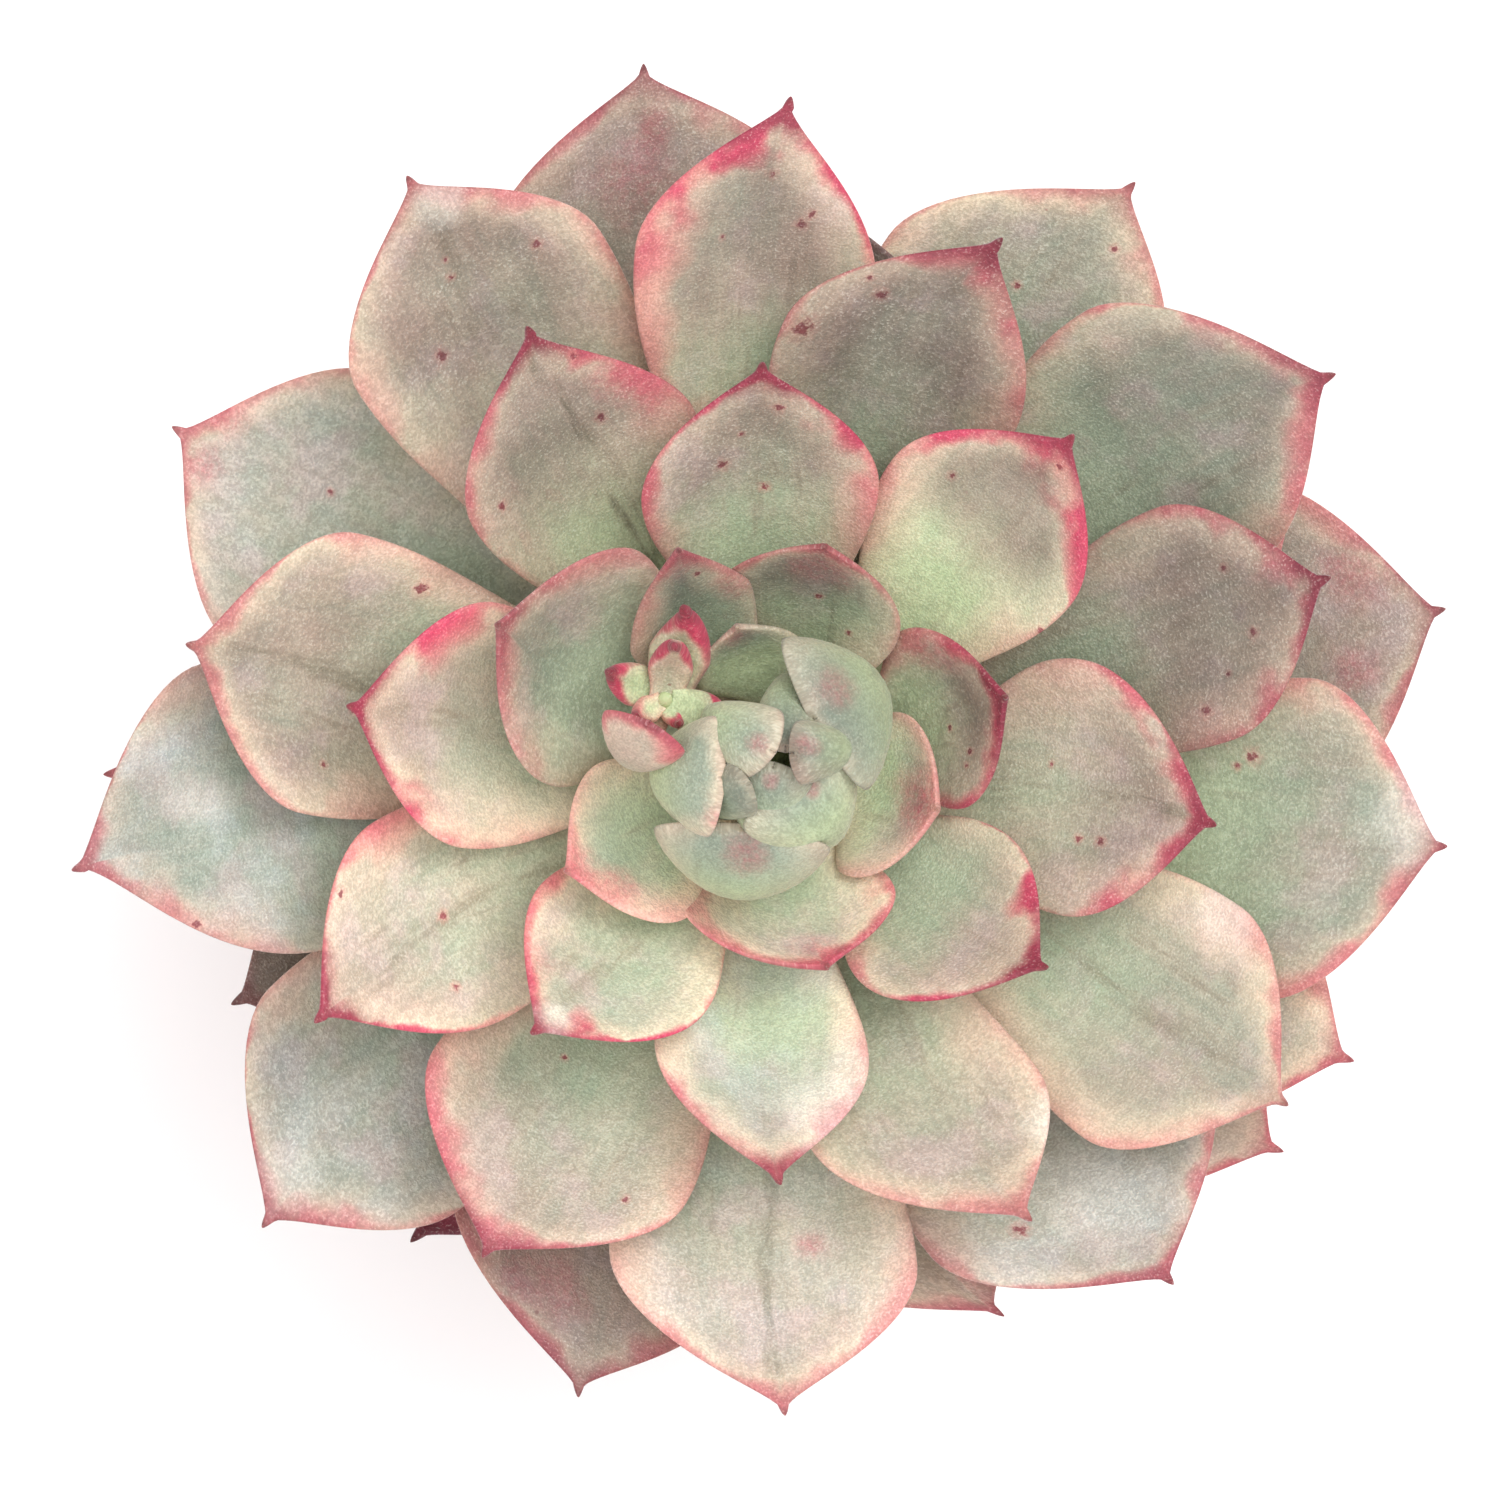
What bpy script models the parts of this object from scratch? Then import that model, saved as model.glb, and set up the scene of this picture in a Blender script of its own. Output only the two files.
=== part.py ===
"""A potted rosette succulent: a fleshy echeveria with an offset, in a plain clay pot with its soil.

The plant is built the way it grows. Leaves stand round a short stem, each one the golden angle on from
the last, the oldest at the bottom. A leaf follows a circular arc in the upright plane through the stem:
it leaves the stem almost flat and curves upwards, and a younger leaf curves more than an older one, so
the leaves nest like bowls. The youngest lean in over the heart.

Metres, +Z up. The origin is under the middle of the whole object, on the surface that the pot stands on.
"""

import math
from collections import namedtuple

import bmesh
import bpy
from mathutils import Matrix, Vector

MM = 0.001
GAP = 0.3 * MM  # between neighbours that touch

# Pot
POT_HEIGHT = 68 * MM
RIM_RADIUS = 42 * MM
RIM_BAND = 16 * MM
RIM_STEP = 2.6 * MM
FOOT_RADIUS = 29 * MM
WALL = 4.2 * MM
FLOOR = 5.5 * MM
DRAIN_RADIUS = 5 * MM
ROUNDING = 1.1 * MM
POT_SIDES = 56

# Soil
HEADSPACE = 9 * MM  # from the rim down to the soil
SOIL_CROWN = 2.4 * MM  # how much higher the soil is at the stem

# Stem
PLANT_X = 2.0 * MM  # the plant isn't quite in the middle of its pot
PLANT_Y = -2.4 * MM
STEM_RADIUS = 7.0 * MM
APEX_RADIUS = 1.4 * MM
STEM_BURIED = 22 * MM
CROWN_BASE = POT_HEIGHT + 5.5 * MM  # where the oldest leaf grows
LEAF_RISE = 0.53 * MM  # up the stem from one leaf to the next
YOUNGEST = 58
CROWN_HEIGHT = LEAF_RISE * YOUNGEST

# Leaf growth
GOLDEN_ANGLE = 137.5
FIRST_AZIMUTH = 183.2
WIDEST = 0.72  # of the leaf's length
ROOT_SHARE = 0.32  # of the leaf's width, where it leaves the stem
STATIONS = (0.0, 0.2, 0.4, 0.57, 0.72, 0.84, 0.93)
OFFSET_STATIONS = (0.0, 0.35, 0.6, 0.76, 0.92)
THICKNESS = 2.1 * MM
BUD_THICKNESS = 1.05 * MM
BUD_ROOT_RISE = 12  # degrees

# Round a leaf's section: the place across the blade, from edge to edge, and the depth, from the upper
# face (0) to the lower (1).
SKIN = ((-1, 0), (-0.5, 0), (0, 0), (0.5, 0), (1, 0), (0.68, 0.7), (0, 1), (-0.68, 0.7))

# Each leaf: its number up the stem, how far it strays from its golden-angle place and how far its tip
# swings from there (degrees), the tip's distance from the stem's axis and the leaf's width (mm). Some
# also have their own slope at the tip (rise, degrees) and a deeper dish across the blade (cup, mm).
Leaf = namedtuple("Leaf", "number drift swing reach width rise belly cup", defaults=(None, None, 0.3))

SPREAD_LEAVES = (
    Leaf(0, -3.7, 1.3, 59.6, 20),
    Leaf(1, -0.7, 3.8, 53.7, 20),
    Leaf(2, 6.2, -3.0, 62.5, 23.5),
    Leaf(3, -1.7, -2.1, 53.0, 19),
    Leaf(4, -0.1, 0.2, 59.3, 22),
    Leaf(5, 1.0, -0.6, 61.1, 23.5),
    Leaf(6, -4.0, 7.5, 50.5, 20),
    Leaf(7, -3.2, -3.5, 59.3, 23),
    Leaf(8, -1.2, 1.4, 52.6, 19),
    Leaf(9, -11.5, 3.3, 55.9, 21),
    Leaf(10, 0, 0, 51, 18),
    Leaf(11, -8.8, 5.0, 57.9, 23),
    Leaf(12, -1.9, -0.7, 52.9, 19),
    Leaf(13, 0, 0, 47, 18),
    Leaf(14, -3.6, 2.2, 56.4, 24.5),
    Leaf(15, -5.7, 6.0, 49.6, 20),
    Leaf(16, -5.1, 3.4, 60.6, 23.5),
    Leaf(17, -9.9, 2.2, 57.9, 25.5),
    Leaf(18, -14.8, -0.7, 60.7, 24.3),
    Leaf(19, -8.4, 2.7, 56.4, 27),
    Leaf(20, -13.2, -4.6, 58.5, 22.6),
    Leaf(21, -5.6, 3.3, 62.4, 25.9),
    Leaf(22, -2.3, 0, 52.6, 24.2),
    Leaf(23, -12.5, -3.7, 57.8, 22.5),
    Leaf(24, -4.8, 0, 50.0, 25),
    Leaf(25, -1.8, 0.1, 49.9, 21),
    Leaf(26, 10.2, 0.2, 52.8, 23.5),
    Leaf(27, -2.6, 5.3, 44.8, 20.5),
    Leaf(28, 0.1, -5.7, 49.2, 23.3),
    Leaf(29, -6.1, 4.1, 46.3, 22.9),
    Leaf(30, 7.1, -3.3, 37.6, 22.7),
    Leaf(31, -3.2, -2.0, 43.9, 20.8),
    Leaf(32, 0.9, 5.3, 36.2, 18.3),
    Leaf(33, 7.2, 1.0, 37.8, 20.9),
    Leaf(34, -5.2, -0.7, 38.1, 21.5),
    Leaf(35, -0.7, 7.5, 28.6, 19.9),
    Leaf(36, 1.9, -1.9, 34.7, 21.2),
    Leaf(37, -0.9, -3.3, 31.8, 19.9),
    Leaf(38, 8.5, 0.3, 19.9, 18.2, 84),
    Leaf(39, 11.3, -3.2, 27.6, 20, 70),
    Leaf(40, -9.4, 8.6, 17.0, 18.5, 92),
    Leaf(41, 13.1, 6.2, 19.1, 17.2, 72),
    Leaf(42, 9.2, -1.8, 21.1, 17, 80),
    Leaf(43, 7.9, -2.5, 13.1, 14, 100),
    Leaf(44, 5.7, -2.7, 18.6, 13, 84),
)

# The heart's leaves lean in over it: belly (mm) is their largest distance from the axis.
BUD_LEAVES = (
    Leaf(45, -5.7, -4.3, 9.6, 17, belly=11.6),
    Leaf(46, 11.8, 8.5, 5.4, 15.7, belly=10.6),
    Leaf(47, 26.3, 20, 8.6, 12.2, belly=10.4, cup=1.0),
    Leaf(48, 6.8, -1, 2.7, 12.5, belly=7.0),
    Leaf(49, 26.4, 2, 7.7, 8.8, belly=9.8, cup=2.2),
    Leaf(50, -4.2, -15, 4.2, 6.5, belly=6.0),
    Leaf(51, 24.3, 20, 2.6, 6.5, belly=5.0),
    Leaf(52, 2.8, -12, 2.6, 8.5, belly=5.9),
    Leaf(57, -15.7, 0, 2.0, 4, belly=3.7),
    Leaf(58, -13.2, 0, 1.6, 4, belly=3.0),
)

# The offset is a small rosette in the angle of a leaf. Its leaves: azimuth and swing (degrees), reach,
# width, height of the root above the offset's base (mm) and slope at the tip (degrees).
OffsetLeaf = namedtuple("OffsetLeaf", "azimuth swing reach width root rise")

OFFSET_AZIMUTH = 151.4
OFFSET_DISTANCE = 11.8 * MM
OFFSET_BASE = 31.5 * MM  # above the oldest leaf's root
OFFSET_CORE_RADIUS = 1.5 * MM
OFFSET_CORE_HEIGHT = 3.4 * MM
OFFSET_STALK_RADIUS = 0.6 * MM
OFFSET_STALK_RUN = 5.6 * MM  # level distance from the stalk's foot to the offset's axis
OFFSET_STALK_DROP = 5.0 * MM
OFFSET_LEAF_SLOPE = 20  # degrees, where an offset's leaf leaves its core
OFFSET_THICKNESS = 1.3 * MM
OFFSET_LEAVES = (
    OffsetLeaf(79, 0, 7.3, 5.8, 0.2, 62),
    OffsetLeaf(-125, -28, 5.6, 6.6, 0.2, 60),
    OffsetLeaf(157, 0, 4.7, 3.4, 0.8, 64),
    OffsetLeaf(-19, 0, 4.1, 3.2, 1.1, 66),
    OffsetLeaf(82, 0, 3.6, 2.6, 2.0, 80),
    OffsetLeaf(-115, 0, 2.0, 2.2, 2.3, 80),
    OffsetLeaf(30, 0, 1.3, 2.0, 2.8, 84),
)


def start_clean():
    """Empty the scene and make the two collections."""
    for obj in list(bpy.data.objects):
        bpy.data.objects.remove(obj)
    plant = bpy.data.collections.new("potted_succulent")
    cutters = bpy.data.collections.new("cutters")
    for collection in (plant, cutters):
        bpy.context.scene.collection.children.link(collection)
    return plant, cutters


def material(name, colour, roughness):
    made = bpy.data.materials.new(name)
    made.use_nodes = True
    shader = made.node_tree.nodes["Principled BSDF"]
    shader.inputs["Base Color"].default_value = (*colour, 1)
    shader.inputs["Roughness"].default_value = roughness
    shader.inputs["Metallic"].default_value = 0.0
    return made


def add_object(name, mesh, collection, finish=None):
    obj = bpy.data.objects.new(name, mesh)
    collection.objects.link(obj)
    if finish:
        mesh.materials.append(finish)
    mesh.shade_smooth()
    mesh.set_sharp_from_angle(angle=math.radians(35))
    return obj


def turned(name, profile, sides, collection, finish):
    """Turn a profile, given as (radius, height) from the top of its outer side down, about Z."""
    mesh = bpy.data.meshes.new(name)
    points = [(radius, 0, height) for radius, height in profile]
    last = len(points) - 1
    edges = [(i, i + 1) for i in range(last)]
    if points[0][0] > 0:  # a closed ring: nothing of it is on the axis
        edges.append((last, 0))
    mesh.from_pydata(points, edges, [])
    obj = bpy.data.objects.new(name, mesh)
    collection.objects.link(obj)
    screw = obj.modifiers.new("turn", "SCREW")
    screw.steps = screw.render_steps = sides
    screw.use_merge_vertices = True
    screw.merge_threshold = 0.00005
    screw.use_smooth_shade = True
    mesh.materials.append(finish)
    return obj


# ---------------------------------------------------------------- pot, soil and stem


def inner_wall_radius(height):
    """The pot's inner radius at a height above the floor."""
    share = (height - FLOOR) / (POT_HEIGHT - FLOOR)
    bottom = FOOT_RADIUS - WALL
    top = RIM_RADIUS - WALL
    return bottom + (top - bottom) * share


def pot(collection, finish):
    band_foot = POT_HEIGHT - RIM_BAND
    body_top = RIM_RADIUS - RIM_STEP - 1.2 * MM
    profile = (
        (RIM_RADIUS - ROUNDING, POT_HEIGHT),
        (RIM_RADIUS, POT_HEIGHT - ROUNDING),
        (RIM_RADIUS - 0.9 * MM, band_foot + ROUNDING),
        (RIM_RADIUS - 0.9 * MM - ROUNDING, band_foot),
        (body_top, band_foot - 0.4 * MM),
        (FOOT_RADIUS + ROUNDING, 4 * MM),
        (FOOT_RADIUS, ROUNDING),
        (FOOT_RADIUS - ROUNDING, 0),
        (DRAIN_RADIUS, 0),
        (DRAIN_RADIUS, FLOOR),
        (inner_wall_radius(FLOOR), FLOOR),
        (inner_wall_radius(POT_HEIGHT - ROUNDING), POT_HEIGHT - ROUNDING),
        (RIM_RADIUS - WALL + ROUNDING, POT_HEIGHT),
    )
    return turned("pot", profile, POT_SIDES, collection, finish)


def soil(collection, cutters, finish):
    """The soil fills the pot, is mounded round the stem, and has the stem's hole."""
    edge_top = POT_HEIGHT - HEADSPACE
    clearance = 2 * GAP
    profile = (
        (0, edge_top + SOIL_CROWN),
        (14 * MM, edge_top + 0.85 * SOIL_CROWN),
        (27 * MM, edge_top + 0.3 * SOIL_CROWN),
        (inner_wall_radius(edge_top) - clearance, edge_top),
        (inner_wall_radius(FLOOR) - clearance, FLOOR + GAP),
        (0, FLOOR + GAP),
    )
    made = turned("soil", profile, 40, collection, finish)
    bpy.ops.mesh.primitive_cylinder_add(vertices=24, radius=STEM_RADIUS + GAP, depth=4 * STEM_BURIED)
    cutter = bpy.context.object
    cutter.name = "stem_hole"
    bottom = POT_HEIGHT - HEADSPACE - STEM_BURIED - GAP
    cutter.location = (PLANT_X, PLANT_Y, bottom + 2 * STEM_BURIED)
    move_to(cutter, cutters)
    cutter.hide_render = True
    cutter.display_type = "WIRE"
    cut = made.modifiers.new("stem_hole", "BOOLEAN")
    cut.operation = "DIFFERENCE"
    cut.object = cutter
    return made


def move_to(obj, collection):
    for old in list(obj.users_collection):
        old.objects.unlink(obj)
    collection.objects.link(obj)


def stem_radius(number):
    """The stem's radius where a leaf of this number grows: it tapers to the growing point."""
    return STEM_RADIUS - (STEM_RADIUS - APEX_RADIUS) * (number / YOUNGEST) ** 2


def stem(collection, finish):
    """A stub of old woody stem, swollen a little where it leaves the soil."""
    soil_top = POT_HEIGHT - HEADSPACE
    buried = soil_top - STEM_BURIED
    rings = 9
    profile = [(0, CROWN_BASE + CROWN_HEIGHT + 0.6 * MM)]
    for i in range(rings):
        number = YOUNGEST * (1 - i / (rings - 1))
        profile.append((stem_radius(number) - 2 * GAP, CROWN_BASE + LEAF_RISE * number))
    profile += [
        (0.8 * STEM_RADIUS, CROWN_BASE - 4 * MM),
        (0.86 * STEM_RADIUS, soil_top + 4 * MM),
        (0.95 * STEM_RADIUS, soil_top - 2 * MM),
        (0.7 * STEM_RADIUS, buried + 2 * MM),
        (0, buried),
    ]
    made = turned("stem", profile, 24, collection, finish)
    made.location = (PLANT_X, PLANT_Y, 0)
    return made


# ---------------------------------------------------------------- leaves


def width_share(along):
    """Half-width at a share of the length, as a share of the widest: a spoon with a drawn-out tip."""
    if along < WIDEST:
        swell = math.sin(math.pi / 2 * (along / WIDEST) ** 1.2) ** 2
        return ROOT_SHARE + (1 - ROOT_SHARE) * swell
    past = (along - WIDEST) / (1 - WIDEST)
    return (1 - past**2.4) ** 1.3


def thickness_share(along):
    """Thickest at the lower middle of the blade, thinner at the root and thin towards the tip."""
    return 0.6 + 0.4 * math.sin(math.pi * min(1, along / 0.85)) - 0.3 * along**4


def tip_rise(number):
    """The blade's slope at the tip of a spread leaf, in degrees: flat at the bottom, steeper upwards."""
    return 6 + 0.55 * number + 0.016 * number**2


def root_rise(number):
    """The slope at which a leaf leaves the stem, in degrees."""
    return 0.45 * number


Arc = namedtuple("Arc", "radius height slope curvature length")
Blade = namedtuple("Blade", "arc azimuth drift swing width cup thickness")


def arc_to(radius, height, slope, reach, end_slope):
    """The arc that leaves (radius, height) at one slope and has the other where it reaches the tip."""
    curvature = (math.sin(end_slope) - math.sin(slope)) / (reach - radius)
    return Arc(radius, height, slope, curvature, (end_slope - slope) / curvature)


def arc_round(radius, height, slope, reach, belly):
    """The arc that swings out to the belly's radius and back in to the tip."""
    curvature = (1 - math.sin(slope)) / (belly - radius)
    end_slope = math.pi - math.asin(math.sin(slope) + curvature * (reach - radius))
    return Arc(radius, height, slope, curvature, (end_slope - slope) / curvature)


def blade_of(leaf):
    """The leaf's place, arc and sizes, in radians and metres."""
    radius = stem_radius(leaf.number)
    height = LEAF_RISE * leaf.number
    azimuth = math.radians(FIRST_AZIMUTH + GOLDEN_ANGLE * leaf.number)
    if leaf.belly is None:
        slope = math.radians(root_rise(leaf.number))
        end_slope = math.radians(leaf.rise or tip_rise(leaf.number))
        arc = arc_to(radius, height, slope, leaf.reach * MM, end_slope)
        thickness = THICKNESS
    else:
        arc = arc_round(radius, height, math.radians(BUD_ROOT_RISE), leaf.reach * MM, leaf.belly * MM)
        thickness = BUD_THICKNESS
    drift, swing = math.radians(leaf.drift), math.radians(leaf.swing)
    return Blade(arc, azimuth, drift, swing, leaf.width * MM, leaf.cup * MM, thickness)


def blade_point(blade, along, across, depth):
    """A point of the leaf's skin, about the stem's axis. depth is 0 on the upper face and 1 underneath."""
    arc = blade.arc
    angle = arc.slope + arc.curvature * arc.length * along
    radius = arc.radius + (math.sin(angle) - math.sin(arc.slope)) / arc.curvature
    height = arc.height + (math.cos(arc.slope) - math.cos(angle)) / arc.curvature
    reach_round = max(radius, 1.2 * 0.5 * blade.width * width_share(along))
    turn = blade.azimuth + blade.drift * (1 - (1 - min(1, along / 0.6)) ** 2)
    turn += blade.swing * max(0, (along - 0.5) / 0.5) ** 1.5
    turn += across * 0.5 * blade.width * width_share(along) / reach_round
    under = depth * blade.thickness * thickness_share(along)
    under -= blade.cup * across**2 * math.sin(math.pi * min(1, along / 0.9))
    radius += under * math.sin(angle)
    height -= under * math.cos(angle)
    return Vector((radius * math.cos(turn), radius * math.sin(turn), height))


def blade_mesh(name, blade, stations):
    """Loft the leaf's sections along its arc, closed by a cap at the root and a point at the tip."""
    bm = bmesh.new()
    sections = []
    for along in stations:
        points = [blade_point(blade, along, across, depth) for across, depth in SKIN]
        sections.append([bm.verts.new(point) for point in points])
    tip = bm.verts.new(blade_point(blade, 1, 0, 0.3))
    count = len(SKIN)
    for lower, upper in zip(sections, sections[1:]):
        for i in range(count):
            j = (i + 1) % count
            bm.faces.new((lower[i], lower[j], upper[j], upper[i]))
    for i in range(count):
        bm.faces.new((sections[-1][i], sections[-1][(i + 1) % count], tip))
    bm.faces.new(list(reversed(sections[0])))
    bmesh.ops.recalc_face_normals(bm, faces=bm.faces)
    bmesh.ops.triangulate(bm, faces=bm.faces)
    mesh = bpy.data.meshes.new(name)
    bm.to_mesh(mesh)
    bm.free()
    return mesh


def leaves(collection, finish):
    for place, leaf in enumerate(SPREAD_LEAVES + BUD_LEAVES, start=1):
        name = f"leaf_{place:02d}"
        made = add_object(name, blade_mesh(name, blade_of(leaf), STATIONS), collection, finish)
        made.location = (PLANT_X, PLANT_Y, CROWN_BASE)


# ---------------------------------------------------------------- offset


def cone(name, foot, top, foot_radius, top_radius, sides, collection):
    """A capped cone or rod from one point to another."""
    run = top - foot
    place = Matrix.Translation((foot + top) / 2) @ run.to_track_quat("Z", "Y").to_matrix().to_4x4()
    bm = bmesh.new()
    bmesh.ops.create_cone(
        bm,
        cap_ends=True,
        segments=sides,
        radius1=foot_radius,
        radius2=top_radius,
        depth=run.length,
        matrix=place,
    )
    mesh = bpy.data.meshes.new(name)
    bm.to_mesh(mesh)
    bm.free()
    return add_object(name, mesh, collection)


def offset_parts(cutters):
    """The stalk that comes out of the leaf's angle, and the leaves, about the offset's own foot."""
    azimuth = math.radians(OFFSET_AZIMUTH)
    outwards = Vector((math.cos(azimuth), math.sin(azimuth), 0))
    foot = -OFFSET_STALK_RUN * outwards - Vector((0, 0, OFFSET_STALK_DROP))
    joint = Vector((0, 0, 0.3 * OFFSET_CORE_HEIGHT))
    radius = OFFSET_STALK_RADIUS
    parts = [cone("offset_stalk", foot, joint, radius, radius, 10, cutters)]
    slope = math.radians(OFFSET_LEAF_SLOPE)
    for i, leaf in enumerate(OFFSET_LEAVES, start=1):
        arc = arc_to(0.5 * MM, leaf.root * MM, slope, leaf.reach * MM, math.radians(leaf.rise))
        turn, swing = math.radians(leaf.azimuth), math.radians(leaf.swing)
        blade = Blade(arc, turn, 0, swing, leaf.width * MM, 0.1 * MM, OFFSET_THICKNESS)
        name = f"offset_leaf_{i}"
        parts.append(add_object(name, blade_mesh(name, blade, OFFSET_STATIONS), cutters))
    return parts


def offset(collection, cutters, finish):
    """The offset, grown together into one piece."""
    core_top = Vector((0, 0, OFFSET_CORE_HEIGHT))
    made = cone("offset", Vector(), core_top, OFFSET_CORE_RADIUS, 0.4 * OFFSET_CORE_RADIUS, 12, collection)
    made.data.materials.append(finish)
    azimuth = math.radians(OFFSET_AZIMUTH)
    place = Vector((PLANT_X, PLANT_Y, CROWN_BASE + OFFSET_BASE))
    place += OFFSET_DISTANCE * Vector((math.cos(azimuth), math.sin(azimuth), 0))
    made.location = place
    for part in offset_parts(cutters):
        part.location = place
        part.hide_render = True
        part.display_type = "WIRE"
        join = made.modifiers.new(part.name, "BOOLEAN")
        join.operation = "UNION"
        join.object = part
    return made


def main():
    plant, cutters = start_clean()
    clay = material("clay", (0.62, 0.27, 0.15), 0.85)
    earth = material("earth", (0.06, 0.045, 0.035), 0.95)
    bark = material("bark", (0.30, 0.22, 0.14), 0.8)
    leaf_skin = material("leaf_skin", (0.50, 0.58, 0.44), 0.5)
    pot(plant, clay)
    soil(plant, cutters, earth)
    stem(plant, bark)
    leaves(plant, leaf_skin)
    offset(plant, cutters, leaf_skin)


main()
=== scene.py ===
"""The looks of a potted rosette succulent: leaves, offset, stem, soil and clay pot.

The leaves follow the plant's own growth. Each stands the golden angle on from the one before it,
follows an arc in the upright plane through the stem, and has its own outline, thickness, dish and
colouring. Metres, +Z up.
"""

import math
import random
from collections import namedtuple

import bmesh
import bpy
import numpy as np
from mathutils import Euler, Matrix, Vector, noise


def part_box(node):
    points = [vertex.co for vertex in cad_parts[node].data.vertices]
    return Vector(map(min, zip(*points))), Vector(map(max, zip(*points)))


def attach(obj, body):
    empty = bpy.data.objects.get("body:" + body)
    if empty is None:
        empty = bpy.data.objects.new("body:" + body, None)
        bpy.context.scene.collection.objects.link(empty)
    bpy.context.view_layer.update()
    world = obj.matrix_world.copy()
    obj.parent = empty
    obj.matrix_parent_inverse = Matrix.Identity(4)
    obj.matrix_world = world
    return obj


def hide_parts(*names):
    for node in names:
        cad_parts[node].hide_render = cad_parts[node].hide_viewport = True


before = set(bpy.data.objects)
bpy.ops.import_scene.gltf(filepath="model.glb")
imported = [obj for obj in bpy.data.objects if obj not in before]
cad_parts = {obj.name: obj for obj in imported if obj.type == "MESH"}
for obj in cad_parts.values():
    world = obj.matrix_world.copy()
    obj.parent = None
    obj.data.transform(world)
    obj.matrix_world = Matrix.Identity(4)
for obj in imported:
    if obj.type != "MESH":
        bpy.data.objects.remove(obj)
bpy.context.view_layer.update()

MM = 0.001

# ---------------------------------------------------------------- places from the frame

STEM_LOW, STEM_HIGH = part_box("stem")
POT_LOW, POT_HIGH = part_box("pot")
SOIL_LOW, SOIL_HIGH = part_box("soil")
AXIS = Vector(((STEM_LOW.x + STEM_HIGH.x) / 2, (STEM_LOW.y + STEM_HIGH.y) / 2, 0))
RIM = (POT_HIGH.x - POT_LOW.x) / 2
POT_TOP = POT_HIGH.z
CROWN = AXIS + Vector((0, 0, POT_TOP + 5.5 * MM))  # where the oldest leaf grows

# ---------------------------------------------------------------- how the leaves grow

GOLDEN_ANGLE = 137.5
FIRST_AZIMUTH = 183.2
YOUNGEST = 58
LEAF_RISE = 0.53 * MM
STEM_RADIUS = 7.0 * MM
APEX_RADIUS = 1.4 * MM
ROOT_RISE = 0.45  # degrees more for each younger leaf
ROOT_SHARE = 0.32  # the root's width, as a share of the leaf's
THICKNESS = 2.1 * MM
BUD_THICKNESS = 1.5 * MM
BUD_ROOT_RISE = 12  # degrees
BUD_FULLNESS = 2.4
BUD_CURL = 0.92  # how far the sides wrap in, as a share of the belly's swing
BUD_HOLLOW = 0.7
LOWEST_SHOULDER = 0.6  # as a share of the leaf's length
FIRST_YOUNG_LEAF = 38
YOUNG_POINT = 0.5  # a young leaf's hard point, as a share of a grown one's

# number up the stem; drift and swing in degrees; reach, and the widest half-width on the left and
# right of the midline, in mm; how full each side stays towards the tip; how far each side's widest
# place, its shoulder, is from the tip, in mm; then, where a leaf has its own, the slope at the tip
# in degrees, the dish in mm and how hollow the sides are next to the point.
Leaf = namedtuple(
    "Leaf",
    "number drift swing reach left right full_left full_right shoulder_left shoulder_right"
    " rise cup hollow",
    defaults=(2.1, 2.1, 12.0, 12.0, None, 0.3, 1.55),
)

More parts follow.
